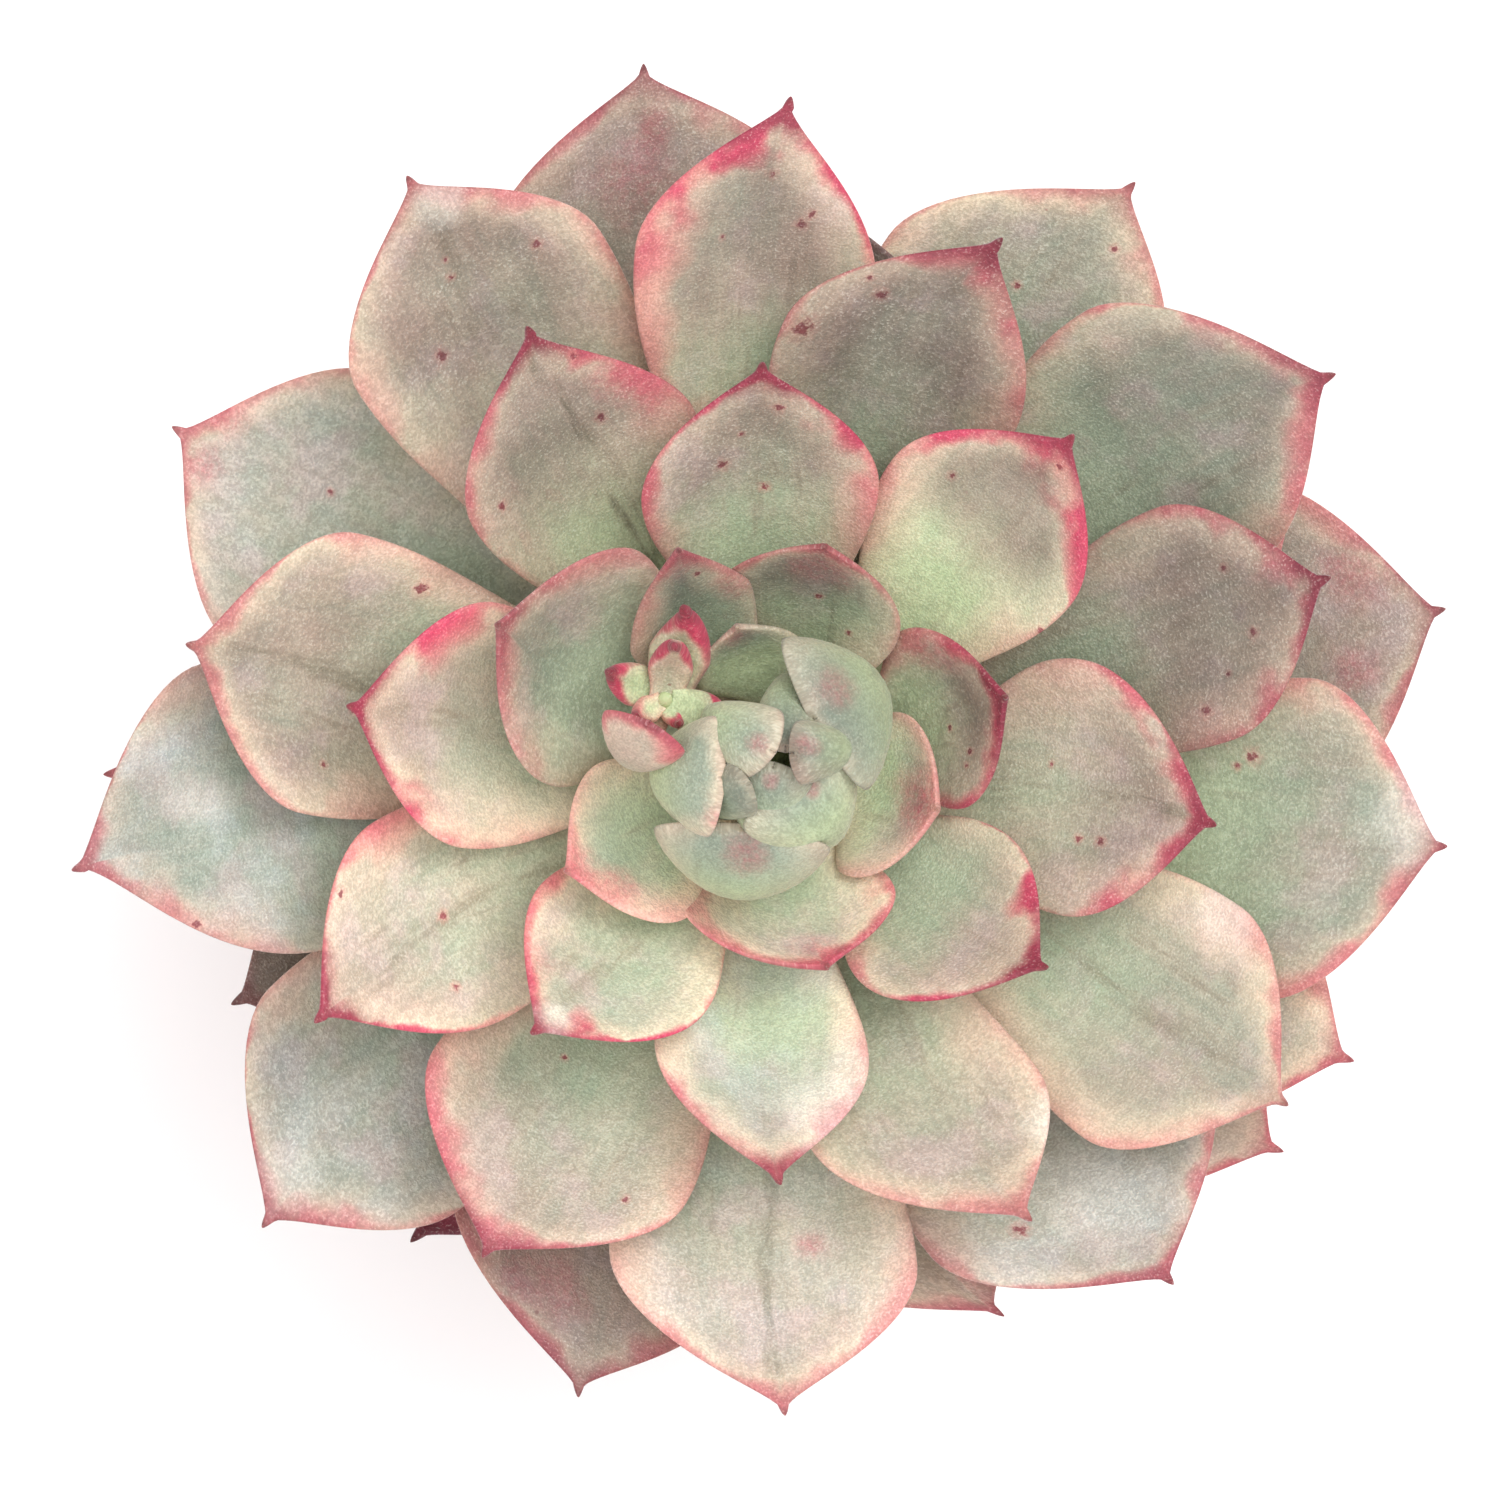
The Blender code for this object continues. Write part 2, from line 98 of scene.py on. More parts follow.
LEAVES = (
    Leaf(0, -3.7, 1.3, 59.6, 11, 11),
    Leaf(1, -5.0, 6.5, 55.2, 11, 13.5),
    Leaf(2, 6.2, -3.0, 62.5, 16, 13, full_left=2.4),
    Leaf(3, -1.7, -2.1, 53.0, 10.5, 10.5),
    Leaf(4, -0.1, 0.2, 59.3, 15, 14),
    Leaf(5, 1.0, -0.6, 61.1, 14, 13.2),
    Leaf(6, -9.0, 12.5, 51.8, 11, 16, full_right=2.5),
    Leaf(7, -3.2, -3.5, 59.3, 14.5, 11.8),
    Leaf(8, -1.2, 1.4, 52.6, 10.5, 10.5),
    Leaf(9, -11.5, 3.3, 55.9, 11.5, 11.5),
    Leaf(10, 0, 0, 51, 9, 9),
    Leaf(11, -8.8, 5.0, 57.9, 12.5, 14.2),
    Leaf(12, -1.9, -0.7, 52.9, 10, 10),
    Leaf(13, 0, 0, 47, 9, 9),
    Leaf(14, -3.6, 2.2, 56.4, 15, 14.6),
    Leaf(15, -5.7, 6.0, 49.6, 11, 11),
    Leaf(16, -5.1, 3.4, 60.6, 12.3, 13.9, shoulder_left=14),
    Leaf(17, -9.9, 2.2, 57.9, 14.2, 14.5),
    Leaf(18, -14.8, -0.7, 60.7, 13.7, 12),
    Leaf(19, -8.4, 2.7, 56.4, 12.8, 14.4),
    Leaf(20, -13.2, -4.6, 58.5, 15, 12, shoulder_right=15),
    Leaf(21, -5.6, 3.3, 62.4, 12.4, 14.8, shoulder_left=20),
    Leaf(22, -2.3, 0, 52.6, 12.3, 12.4),
    Leaf(23, -12.5, -3.7, 57.8, 11.8, 9.7, shoulder_right=17),
    Leaf(24, -4.8, 0, 50.0, 12.7, 13.2),
    Leaf(25, -1.8, 0.1, 49.9, 10.7, 10.8),
    Leaf(26, 10.2, 0.2, 52.8, 12.8, 12.6),
    Leaf(27, -2.6, 5.3, 44.8, 9.1, 12, shoulder_right=13),
    Leaf(28, 0.1, -5.7, 49.2, 12.4, 10.3, shoulder_right=16),
    Leaf(29, -6.1, 4.1, 46.3, 9.7, 11.4, shoulder_left=16),
    Leaf(30, 7.1, -3.3, 37.6, 11.8, 11.2),
    Leaf(31, -3.2, -2.0, 43.9, 12.2, 10, shoulder_right=14, full_right=1.7),
    Leaf(32, 0.9, 5.3, 36.2, 9.6, 9.4),
    Leaf(33, 7.2, 1.0, 37.8, 11.2, 9.4),
    Leaf(34, -5.2, -0.7, 38.1, 11, 11),
    Leaf(35, -0.7, 7.5, 28.6, 9.6, 9.2),
    Leaf(36, 1.9, -1.9, 34.7, 10.8, 10.3),
    Leaf(37, -0.9, -3.3, 31.8, 8.8, 9.6),
    Leaf(38, 8.5, 0.3, 19.9, 8.8, 8.4, rise=64, cup=-0.6),
    Leaf(39, 11.3, -3.2, 27.6, 10, 12.5, shoulder_right=10, rise=62, cup=-0.4),
    Leaf(40, -9.4, 8.6, 17.8, 9.4, 11.2, shoulder_left=9, shoulder_right=5, rise=60, cup=-0.6),
    Leaf(41, 13.1, 6.2, 19.1, 9.8, 6.8, shoulder_left=5, rise=60, cup=-0.7, hollow=1.1),
    Leaf(42, 9.2, -1.8, 21.1, 8.2, 7.8, shoulder_left=10, rise=54, cup=-0.6),
    Leaf(43, 8, 0, 13.8, 8.0, 8.6, 2.8, 2.8, 8, 8, rise=50, cup=-0.8),
    Leaf(44, 5.7, -2.7, 20.6, 7.4, 5.0, 1.2, 1.1, 9, 12, rise=66, cup=-0.6, hollow=1),
    Leaf(49, 26.8, 2, 12.6, 5.4, 5.0, 2.6, 2.6, 5, 5, rise=62, cup=-0.5),
)

# The heart's leaves still close over the growing point, so that their backs show. number up the
# stem; the azimuth that the back faces, in degrees; in mm, how far the rim and the belly stand from
# the axis, the half-width, the whole leaf's shift to its left and the shoulder's distance from the
# tip; how much taller than round the leaf's curve is.
Shell = namedtuple("Shell", "number azimuth rim belly half shift shoulder tall", defaults=(1.0,))

SHELLS = (
    Shell(45, 263, 5.9, 10.7, 7.7, -2.9, 3.4),
    Shell(46, 29, 4.2, 9.6, 7.4, 2.2, 3.6, 1.3),
    Shell(47, 177, 5.5, 10.3, 5.3, 1.3, 3.4, 1.2),
    Shell(48, 307, 1.4, 6.7, 5.7, -0.6, 3.6, 2.0),
    Shell(50, 208, 3.6, 6.8, 2.6, 0, 2.4, 2.1),
    Shell(51, 4, 0.9, 5.4, 2.8, 1.0, 2.6, 2.9),
    Shell(52, 150, 1.8, 7.1, 3.4, -0.5, 3.8, 1.7),
    Shell(57, 88, 1.6, 6.6, 3.2, 0, 3.2, 1.2),
    Shell(58, 258, 0.5, 5.9, 3.7, -1.0, 3.0, 1.2),
)

Arc = namedtuple("Arc", "radius height slope curvature length tall", defaults=(1.0,))
Side = namedtuple("Side", "half full widest")
Blade = namedtuple(
    "Blade",
    "arc azimuth drift swing left right cup thickness seed curl shift hollow point root",
    defaults=(None, 0, 1.0, 1.0, ROOT_SHARE),
)


def stem_radius(number):
    return STEM_RADIUS - (STEM_RADIUS - APEX_RADIUS) * (number / YOUNGEST) ** 2


def tip_rise(number):
    """The slope at the tip, in degrees. Younger leaves stand steeper."""
    return 6 + 0.55 * number + 0.016 * number**2


def arc_to(radius, height, slope, reach, end_slope):
    """The arc that leaves (radius, height) at one slope and has the other at the tip."""
    curvature = (math.sin(end_slope) - math.sin(slope)) / (reach - radius)
    return Arc(radius, height, slope, curvature, (end_slope - slope) / curvature)


def arc_round(radius, height, slope, reach, belly, tall):
    """The arc that swings out to the belly's radius and back in to the tip."""
    curvature = (1 - math.sin(slope)) / (belly - radius)
    end_slope = math.pi - math.asin(math.sin(slope) + curvature * (reach - radius))
    return Arc(radius, height, slope, curvature, (end_slope - slope) / curvature, tall)


def side_of(half, full, shoulder, arc):
    """One side of a leaf: widest half-width and shoulder's distance from the tip are in mm."""
    return Side(half * MM, full, max(LOWEST_SHOULDER, 1 - shoulder * MM / arc.length))


def blade_of(leaf):
    """The leaf's place, arc and sizes, in radians and metres."""
    n = leaf.number
    end_slope = math.radians(leaf.rise or tip_rise(n))
    slope = math.radians(ROOT_RISE * n)
    arc = arc_to(stem_radius(n), LEAF_RISE * n, slope, leaf.reach * MM, end_slope)
    azimuth = math.radians(FIRST_AZIMUTH + GOLDEN_ANGLE * n)
    drift, swing = math.radians(leaf.drift), math.radians(leaf.swing)
    left = side_of(leaf.left, leaf.full_left, leaf.shoulder_left, arc)
    right = side_of(leaf.right, leaf.full_right, leaf.shoulder_right, arc)
    point = 1.0 if n < FIRST_YOUNG_LEAF else YOUNG_POINT
    cup = leaf.cup * MM
    hollow = leaf.hollow
    return Blade(
        arc, azimuth, drift, swing, left, right, cup, THICKNESS, n, hollow=hollow, point=point
    )


def closing_blade(shell, radius, height, root_rise, curl, hollow):
    """The same for a leaf that stands up and closes over the growing point."""
    slope = math.radians(root_rise)
    arc = arc_round(radius, height, slope, shell.rim * MM, shell.belly * MM, shell.tall)
    side = side_of(shell.half, BUD_FULLNESS, shell.shoulder, arc)
    curl = curl * (shell.belly - shell.rim) * MM
    shift = shell.shift * MM
    azimuth, seed = math.radians(shell.azimuth), shell.number
    return Blade(
        arc, azimuth, 0, 0, side, side, 0, BUD_THICKNESS, seed, curl, shift, hollow, point=0
    )


def shell_blade(shell):
    """A leaf of the heart."""
    root = stem_radius(shell.number), LEAF_RISE * shell.number
    return closing_blade(shell, *root, BUD_ROOT_RISE, BUD_CURL, BUD_HOLLOW)


# ---------------------------------------------------------------- leaf shape

MUCRO = 0.7 * MM  # the hard point at the tip
MUCRO_HALF_WIDTH = 0.62 * MM
MUCRO_RUN = 2.2  # how far down the leaf the point reaches, in its own lengths
RIPPLE = 0.012  # the margin's ripple, as a share of the half-width
UPPER_SHARE = 0.42  # how much of the thickness is above the arc
UPPER_ROUNDING = 6  # how squarely the upper face turns down at the margin
KEEL_ROUNDING = 2.6
KEEL_FULLNESS = 0.6
CREASE_HALF_WIDTH = 0.07  # as a share of the half-width
UPPER_STEPS = 34
LOWER_STEPS = 14
STATION_STEPS = 64
NOISE_SLICE = 13.0  # mm between the slices of the noise that neighbouring leaves take


def side_share(along, widest, full, hollow, root):
    """One side's half-width at a share of the leaf's length: a spoon that draws in to a point."""
    below = np.clip(along / widest, 0, 1)
    past = np.clip((along - widest) / (1 - widest), 0, 1)
    spoon = root + (1 - root) * np.sin(math.pi / 2 * below**1.2) ** 2
    return np.where(along < widest, spoon, (1 - past**full) ** hollow)


def half_widths(blade, along):
    """The half-widths on the left and right of the midline, in metres, with the hard point's."""
    point = max(0.01, blade.point) * MUCRO / blade.arc.length
    body = along / (1 - 0.7 * point)
    run = MUCRO_RUN * point
    spike = blade.point * MUCRO_HALF_WIDTH * np.clip((1 - along) / run, 0, 1) ** 0.65
    spike = np.where(along > 1 - run, spike, 0)
    rng = random.Random(blade.seed)
    sides = []
    for side in (blade.left, blade.right):
        share = side_share(np.clip(body, 0, 1), side.widest, side.full, blade.hollow, blade.root)
        half = side.half * share
        ripple = RIPPLE * np.sin(rng.uniform(9, 13) * along + rng.uniform(0, 6.3))
        sides.append(np.maximum(half * (1 + ripple), spike))
    return sides


def thickness_share(along):
    """How thick the leaf is at a share of its length."""
    return 0.6 + 0.4 * np.sin(math.pi * np.minimum(1, along / 0.85)) - 0.3 * along**4


def leaf_section():
    """Places across the blade and the layer of each: 1 on the upper face, 0 on the lower."""
    upper = np.sin(np.linspace(-math.pi / 2, math.pi / 2, UPPER_STEPS + 1))
    lower = np.sin(np.linspace(math.pi / 2, -math.pi / 2, LOWER_STEPS + 1))[1:-1]
    across = np.concatenate([upper, lower])
    layer = np.concatenate([np.ones(len(upper)), np.zeros(len(lower))])
    return across, layer


def leaf_grid(blade):
    """The leaf's skin about the stem's axis: points, surface values, and places in metres.

    The places are how far each point is to the left of the midline, and how far down from the tip.
    """
    across, layer = leaf_section()
    steps = np.linspace(0, 1, STATION_STEPS)
    along = (1 - (1 - steps) ** 1.5)[:, None]
    arc = blade.arc
    angle = arc.slope + arc.curvature * arc.length * along
    radius = arc.radius + (np.sin(angle) - math.sin(arc.slope)) / arc.curvature
    height = arc.height + arc.tall * (math.cos(arc.slope) - np.cos(angle)) / arc.curvature
    left, right = half_widths(blade, along)
    half = np.where(across > 0, left, right)
    mean_half = (left + right) / 2

    turn = blade.azimuth + blade.drift * (1 - (1 - np.minimum(1, along / 0.6)) ** 2)
    turn = turn + blade.swing * np.maximum(0, (along - 0.5) / 0.5) ** 1.5
    if blade.curl is None:
        bend = np.maximum(radius, 1.2 * mean_half)
        sideways = bend * np.sin(across * half / bend)
        inwards = bend * (1 - np.cos(across * half / bend))
    else:
        belly = (math.pi / 2 - arc.slope) / (arc.curvature * arc.length)
        past = np.clip((along - belly) / (1 - belly), 0, 1)
        fade = np.minimum(along / belly, 1 - 0.85 * past**1.4)
        sideways = across * half + blade.shift * np.minimum(1, along / belly)
        inwards = blade.curl * (1 - np.sqrt(1 - 0.97 * across**2)) * fade

    thick = blade.thickness * thickness_share(along)
    thick = np.minimum(thick, 2.2 * mean_half)
    top = UPPER_SHARE * thick
    off_middle = np.abs(across)
    rounded = top * (1 - np.sqrt(np.clip(1 - off_middle**UPPER_ROUNDING, 0, 1)))
    keel = top + (thick - top) * np.clip(1 - off_middle**KEEL_ROUNDING, 0, 1) ** KEEL_FULLNESS
    under = np.where(layer > 0, rounded, keel)
    under = under - blade.cup * across**2 * np.sin(math.pi * np.minimum(1, along / 0.9))

    rng = random.Random(100 + blade.seed)
    breadth = min(1, blade.left.half / (10 * MM))
    wave = rng.uniform(0.10, 0.22) * MM * breadth
    waves = np.sin(rng.uniform(7, 11) * along + 2.2 * across + rng.uniform(0, 6.3))
    under = under + wave * waves * off_middle**1.5 * np.sin(math.pi * along)
    crease = rng.uniform(0.05, 0.3) * MM * breadth**2
    groove = np.exp(-((across / CREASE_HALF_WIDTH) ** 2))
    under = under + crease * groove * np.sin(math.pi * along) * layer

    outwards = radius + under * np.sin(angle) - inwards
    height = height - under * np.cos(angle)
    x = outwards * np.cos(turn) - sideways * np.sin(turn)
    y = outwards * np.sin(turn) + sideways * np.cos(turn)
    points = np.stack([x, y, height], axis=-1)
    values = {
        "edge": (1 - off_middle) * half / MM,
        "upper": np.broadcast_to(layer, half.shape),
        "share": np.broadcast_to(along, half.shape),
        "side": np.broadcast_to(across, half.shape),
    }
    down = np.broadcast_to(arc.length * (1 - along), half.shape)
    return points, values, across * half, down


# the surface values of the one point that closes the tip
TIP_VALUES = {"edge": 0.0, "upper": 1.0, "share": 1.0, "side": 0.0}


def leaf_mesh(name, blade):
    """The grid as a closed mesh, with its surface values as attributes."""
    points, values, to_left, down = leaf_grid(blade)
    rows, columns = points.shape[:2]
    tip = points[-1].mean(axis=0)
    faces = bands(rows, columns, inwards=True)
    last = (rows - 1) * columns
    faces += [(last + j, rows * columns, last + (j + 1) % columns) for j in range(columns)]
    faces.append(tuple(range(columns)))
    mesh = smooth_mesh(name, [*points.reshape(-1, 3).tolist(), tip.tolist()], faces)
    for key, grid in values.items():
        attribute = mesh.attributes.new(key, "FLOAT", "POINT")
        painted = np.append(grid.ravel(), TIP_VALUES[key])
        attribute.data.foreach_set("value", painted.astype(np.float32))
    where = np.zeros((rows * columns + 1, 3))
    where[:-1, 0] = to_left.ravel() / MM
    where[:-1, 1] = down.ravel() / MM
    where[:, 2] = NOISE_SLICE * blade.seed
    attribute = mesh.attributes.new("place", "FLOAT_VECTOR", "POINT")
    attribute.data.foreach_set("vector", where.ravel().astype(np.float32))
    mesh.validate()
    return mesh


def ring_point(radius, angle, height=0.0):
    return radius * math.cos(angle), radius * math.sin(angle), height


def curve_point(start, middle, end, t):
    """The point at a share t of the curve that leaves start and reaches end towards the middle."""
    return (1 - t) ** 2 * start + 2 * t * (1 - t) * middle + t**2 * end


def bands(rows, sides, start=0, inwards=False):
    """Faces between each closed row of points and the next, from the point numbered start on."""
    faces = []
    for i in range(rows - 1):
        for j in range(sides):
            a, b = start + i * sides + j, start + i * sides + (j + 1) % sides
            if inwards:
                faces.append((a, a + sides, b + sides, b))
            else:
                faces.append((a, b, b + sides, a + sides))
    return faces


def smooth_mesh(name, coords, faces):
    mesh = bpy.data.meshes.new(name)
    mesh.from_pydata(coords, [], faces)
    mesh.shade_smooth()
    return mesh


def show(name, mesh, location=(0, 0, 0)):
    obj = bpy.data.objects.new(name, mesh)
    obj.location = location
    bpy.context.scene.collection.objects.link(obj)
    return obj


# ---------------------------------------------------------------- shader parts


def tone(red, green, blue):
    """A shader's colour from the tone that the eye sees on a screen, 0 to 255."""
    seen = [value / 255 for value in (red, green, blue)]
    linear = [v / 12.92 if v <= 0.04045 else ((v + 0.055) / 1.055) ** 2.4 for v in seen]
    return (*linear, 1)


def wire(tree, source, socket):
    """Feed a socket from another socket, or set its value."""
    if isinstance(source, bpy.types.NodeSocket):
        tree.links.new(source, socket)
    else:
        socket.default_value = source


def maths(tree, operation, first, second=0.0, clamp=False):
    made = tree.nodes.new("ShaderNodeMath")
    made.operation = operation
    made.use_clamp = clamp
    wire(tree, first, made.inputs[0])
    wire(tree, second, made.inputs[1])
    return made.outputs[0]


def product(tree, *factors):
    result = factors[0]
    for factor in factors[1:]:
        result = maths(tree, "MULTIPLY", result, factor)
    return result


def total(tree, *terms):
    result = terms[0]
    for term in terms[1:]:
        result = maths(tree, "ADD", result, term)
    return result


def vector_maths(tree, operation, first, second, output="Vector"):
    made = tree.nodes.new("ShaderNodeVectorMath")
    made.operation = operation
    wire(tree, first, made.inputs[0])
    wire(tree, second, made.inputs[1])
    return made.outputs[output]


def soft_step(tree, value, start, end, low=0.0, high=1.0):
    """low where the value is at start, high where it is at end, and a soft change between them."""
    made = tree.nodes.new("ShaderNodeMapRange")
    made.interpolation_type = "SMOOTHSTEP"
    wire(tree, value, made.inputs["Value"])
    wire(tree, start, made.inputs["From Min"])
    wire(tree, end, made.inputs["From Max"])
    wire(tree, low, made.inputs["To Min"])
    wire(tree, high, made.inputs["To Max"])
    return made.outputs["Result"]


def coat(tree, amount, under, over, blend="MIX"):
    """One colour laid over another by an amount from 0 to 1."""
    made = tree.nodes.new("ShaderNodeMix")
    made.data_type = "RGBA"
    made.blend_type = blend
    wire(tree, amount, made.inputs["Factor"])
    wire(tree, under, made.inputs[6])
    wire(tree, over, made.inputs[7])
    return made.outputs[2]


def cloud(tree, where, size, detail=2.0, rough=0.5):
    """Soft noise whose lumps are about size across, from 0 to 1."""
    made = tree.nodes.new("ShaderNodeTexNoise")
    wire(tree, where, made.inputs["Vector"])
    if isinstance(size, bpy.types.NodeSocket):
        size = maths(tree, "DIVIDE", 1.0, size)
    else:
        size = 1 / size
    wire(tree, size, made.inputs["Scale"])
    made.inputs["Detail"].default_value = detail
    made.inputs["Roughness"].default_value = rough
    return made.outputs["Fac"]


def read(tree, name, kind="GEOMETRY", output="Fac"):
    """A value painted on the mesh, or one of the piece's own properties."""
    made = tree.nodes.new("ShaderNodeAttribute")
    made.attribute_type = kind
    made.attribute_name = name
    return made.outputs[output]


def split(tree, vector):
    made = tree.nodes.new("ShaderNodeSeparateXYZ")
    wire(tree, vector, made.inputs[0])
    return made.outputs


def object_place(tree):
    """The surface's place in millimetres, in the piece's own frame."""
    where = tree.nodes.new("ShaderNodeTexCoord").outputs["Object"]
    return vector_maths(tree, "MULTIPLY", where, (1000.0, 1000.0, 1000.0))


def new_group(name, inputs, outputs):
    """An empty group with named number or vector inputs; gives its tree, inputs and outputs."""
    tree = bpy.data.node_groups.new(name, "ShaderNodeTree")
    for label, value in inputs.items():
        kind = "NodeSocketVector" if isinstance(value, tuple) else "NodeSocketFloat"
        tree.interface.new_socket(label, in_out="INPUT", socket_type=kind).default_value = value
    for label in outputs:
        tree.interface.new_socket(label, in_out="OUTPUT", socket_type="NodeSocketFloat")
    given = tree.nodes.new("NodeGroupInput").outputs
    return tree, given, tree.nodes.new("NodeGroupOutput").inputs


def use(tree, group, **values):
    """Place a group in a material, with this material's own values."""
    made = tree.nodes.new("ShaderNodeGroup")
    made.node_tree = group
    for label, source in values.items():
        wire(tree, source, made.inputs[label])
    return made.outputs


def mottling_group():
    """Soft patches: Mask is 0 below the noise level Low and 1 above High."""
    inputs = {"Place": (0.0, 0.0, 0.0), "Size": 5.0, "Low": 0.4, "High": 0.6}
    tree, given, result = new_group("mottling", inputs, ["Mask"])
    lumps = cloud(tree, given["Place"], given["Size"], detail=3, rough=0.55)
    wire(tree, soft_step(tree, lumps, given["Low"], given["High"]), result["Mask"])
    return tree


def grain_group():
    """Fine grain: Grain varies about 0.5, and Sparkle marks its few brightest grains."""
    inputs = {"Place": (0.0, 0.0, 0.0), "Size": 0.3, "Sparkle Level": 0.64}
    tree, given, result = new_group("fine grain", inputs, ["Grain", "Sparkle"])
    fine = cloud(tree, given["Place"], given["Size"], detail=1, rough=0.6)
    wide = maths(tree, "MULTIPLY", given["Size"], 2.7)
    coarse = cloud(tree, given["Place"], wide, detail=1, rough=0.5)
    both = total(tree, product(tree, fine, 0.65), product(tree, coarse, 0.35))
    brightest = maths(tree, "ADD", given["Sparkle Level"], 0.1)
    wire(tree, soft_step(tree, both, 0.3, 0.7), result["Grain"])
    wire(tree, soft_step(tree, fine, given["Sparkle Level"], brightest), result["Sparkle"])
    return tree


def flecks_group():
    """Small scattered spots: one to a cell of about Spacing, in a Share of the cells."""
    inputs = {"Place": (0.0, 0.0, 0.0), "Spacing": 4.0, "Radius": 0.3, "Share": 0.2}
    tree, given, result = new_group("flecks", inputs, ["Mask"])
    wobble = tree.nodes.new("ShaderNodeTexNoise")
    wire(tree, given["Place"], wobble.inputs["Vector"])
    wobble.inputs["Scale"].default_value = 1.6
    shift = vector_maths(tree, "MULTIPLY", wobble.outputs["Color"], (0.7, 0.7, 0.7))
    where = vector_maths(tree, "ADD", given["Place"], shift)
    cells = tree.nodes.new("ShaderNodeTexVoronoi")
    wire(tree, where, cells.inputs["Vector"])
    wire(tree, maths(tree, "DIVIDE", 1.0, given["Spacing"]), cells.inputs["Scale"])
    away = maths(tree, "MULTIPLY", cells.outputs["Distance"], given["Spacing"])
    chance = split(tree, cells.outputs["Color"])
    radius = product(tree, given["Radius"], total(tree, 0.5, chance["Y"]))
    spot = soft_step(tree, away, radius, product(tree, radius, 0.4))
    chosen = maths(tree, "LESS_THAN", chance["X"], given["Share"])
    wire(tree, product(tree, spot, chosen), result["Mask"])
    return tree


def mark_group():
    """A mark at Mark's x and y, of radius Mark's z: its ragged Spot, and a soft Halo round it."""
    inputs = {"Place": (0.0, 0.0, 0.0), "Mark": (0.0, 0.0, 0.0), "Ragged": 0.0}
    tree, given, result = new_group("mark", inputs, ["Spot", "Halo"])
    flat = (1.0, 1.0, 0.0)
    here = vector_maths(tree, "MULTIPLY", given["Place"], flat)
    there = vector_maths(tree, "MULTIPLY", given["Mark"], flat)
    away = vector_maths(tree, "DISTANCE", here, there, output="Value")
    radius = split(tree, given["Mark"])["Z"]
    away = total(tree, away, product(tree, given["Ragged"], radius, 2.4))
    real = maths(tree, "GREATER_THAN", radius, 0.01)
    spot = soft_step(tree, away, radius, product(tree, radius, 0.45))
    halo = soft_step(tree, away, product(tree, radius, 2.3), product(tree, radius, 0.4))
    wire(tree, product(tree, spot, real), result["Spot"])
    wire(tree, product(tree, halo, real), result["Halo"])
    return tree


Effects = namedtuple("Effects", "mottling grain flecks mark")


def mottled(tree, effects, place, size, low, high):
    """This material's own soft patches."""
    return use(tree, effects.mottling, Place=place, Size=size, Low=low, High=high)["Mask"]


def flecked(tree, effects, place, spacing, radius, share):
    """This material's own small spots."""
    values = {"Place": place, "Spacing": spacing, "Radius": radius, "Share": share}
    return use(tree, effects.flecks, **values)["Mask"]


def roughen(tree, grains, shader, low, high):
    """Roughness that goes from low between the grains to high on them."""
    wire(tree, soft_step(tree, grains["Grain"], 0, 1, low, high), shader.inputs["Roughness"])


def new_material(name):
    """A material with its shader; gives the material, its tree and the shader."""
    made = bpy.data.materials.new(name)
    made.use_nodes = True
    tree = made.node_tree
    return made, tree, tree.nodes["Principled BSDF"]


def bump(tree, height, shader, strength):
    """Bump from a height in millimetres."""
    made = tree.nodes.new("ShaderNodeBump")
    made.inputs["Distance"].default_value = MM
    made.inputs["Strength"].default_value = strength
    wire(tree, height, made.inputs["Height"])
    tree.links.new(made.outputs["Normal"], shader.inputs["Normal"])


# ---------------------------------------------------------------- leaf skin

GREY_GREEN = tone(158, 168, 148)
FRESH_GREEN = tone(194, 209, 164)
BEIGE = tone(200, 174, 156)
CREAM = tone(232, 212, 182)
LILAC = tone(208, 180, 176)
SALMON = tone(226, 154, 142)
PINK = tone(200, 72, 98)
CRIMSON = tone(150, 52, 72)
POINT_BROWN = tone(122, 56, 60)
FRECKLE = tone(140, 58, 68)
BLOOM = tone(206, 214, 214)
# dark streaks, and painted shade along the midline crease
STREAK_AND_CREASE_SHADE = tone(112, 108, 84)
# painted glint, laid on the brightest grains
PAINTED_GLINT = tone(244, 242, 228)
# pale patches: mostly painted glare, partly the waxy bloom's white
GLARE_AND_BLOOM_WHITE = tone(246, 240, 228)
FULL_HALF_WIDTH = 11.0  # mm, of a leaf whose margins have their full width
MARKS = 5  # the most that one leaf has
BLOTCHES = 2


# What the skin's colours read at each place. place is left of the midline, down from the tip and
# the leaf's own slice of the noise; edge and down are how far it is from the margin and the tip;
# all are in mm. share is how far along the leaf, and own holds the leaf's tint. The rest is noise.
Skin = namedtuple("Skin", "place edge down share own ragged fine streak broad uneven")


def skin_values(tree):
    place = read(tree, "place", output="Vector")
    own = {name: read(tree, name, kind="OBJECT") for name in (*Tint._fields, "size")}
    uneven = soft_step(tree, cloud(tree, place, 10, detail=2), 0.34, 0.64, low=0.15, high=1.6)
    tilted = product(tree, own["lean"], read(tree, "side"))
    lengthwise = vector_maths(tree, "MULTIPLY", place, (1.0, 0.16, 1.0))
    return Skin(
        place=place,
        edge=maths(tree, "DIVIDE", read(tree, "edge"), own["size"]),
        down=maths(tree, "DIVIDE", split(tree, place)["Y"], own["size"]),
        share=read(tree, "share"),
        own=own,
        ragged=maths(tree, "SUBTRACT", cloud(tree, place, 3.0, detail=4, rough=0.62), 0.5),
        fine=maths(tree, "SUBTRACT", cloud(tree, place, 0.55, detail=2, rough=0.7), 0.5),
        streak=cloud(tree, lengthwise, 1.5, detail=3, rough=0.6),
        broad=cloud(tree, place, 9, detail=3, rough=0.55),
        uneven=product(tree, uneven, total(tree, 1.0, tilted)),
    )


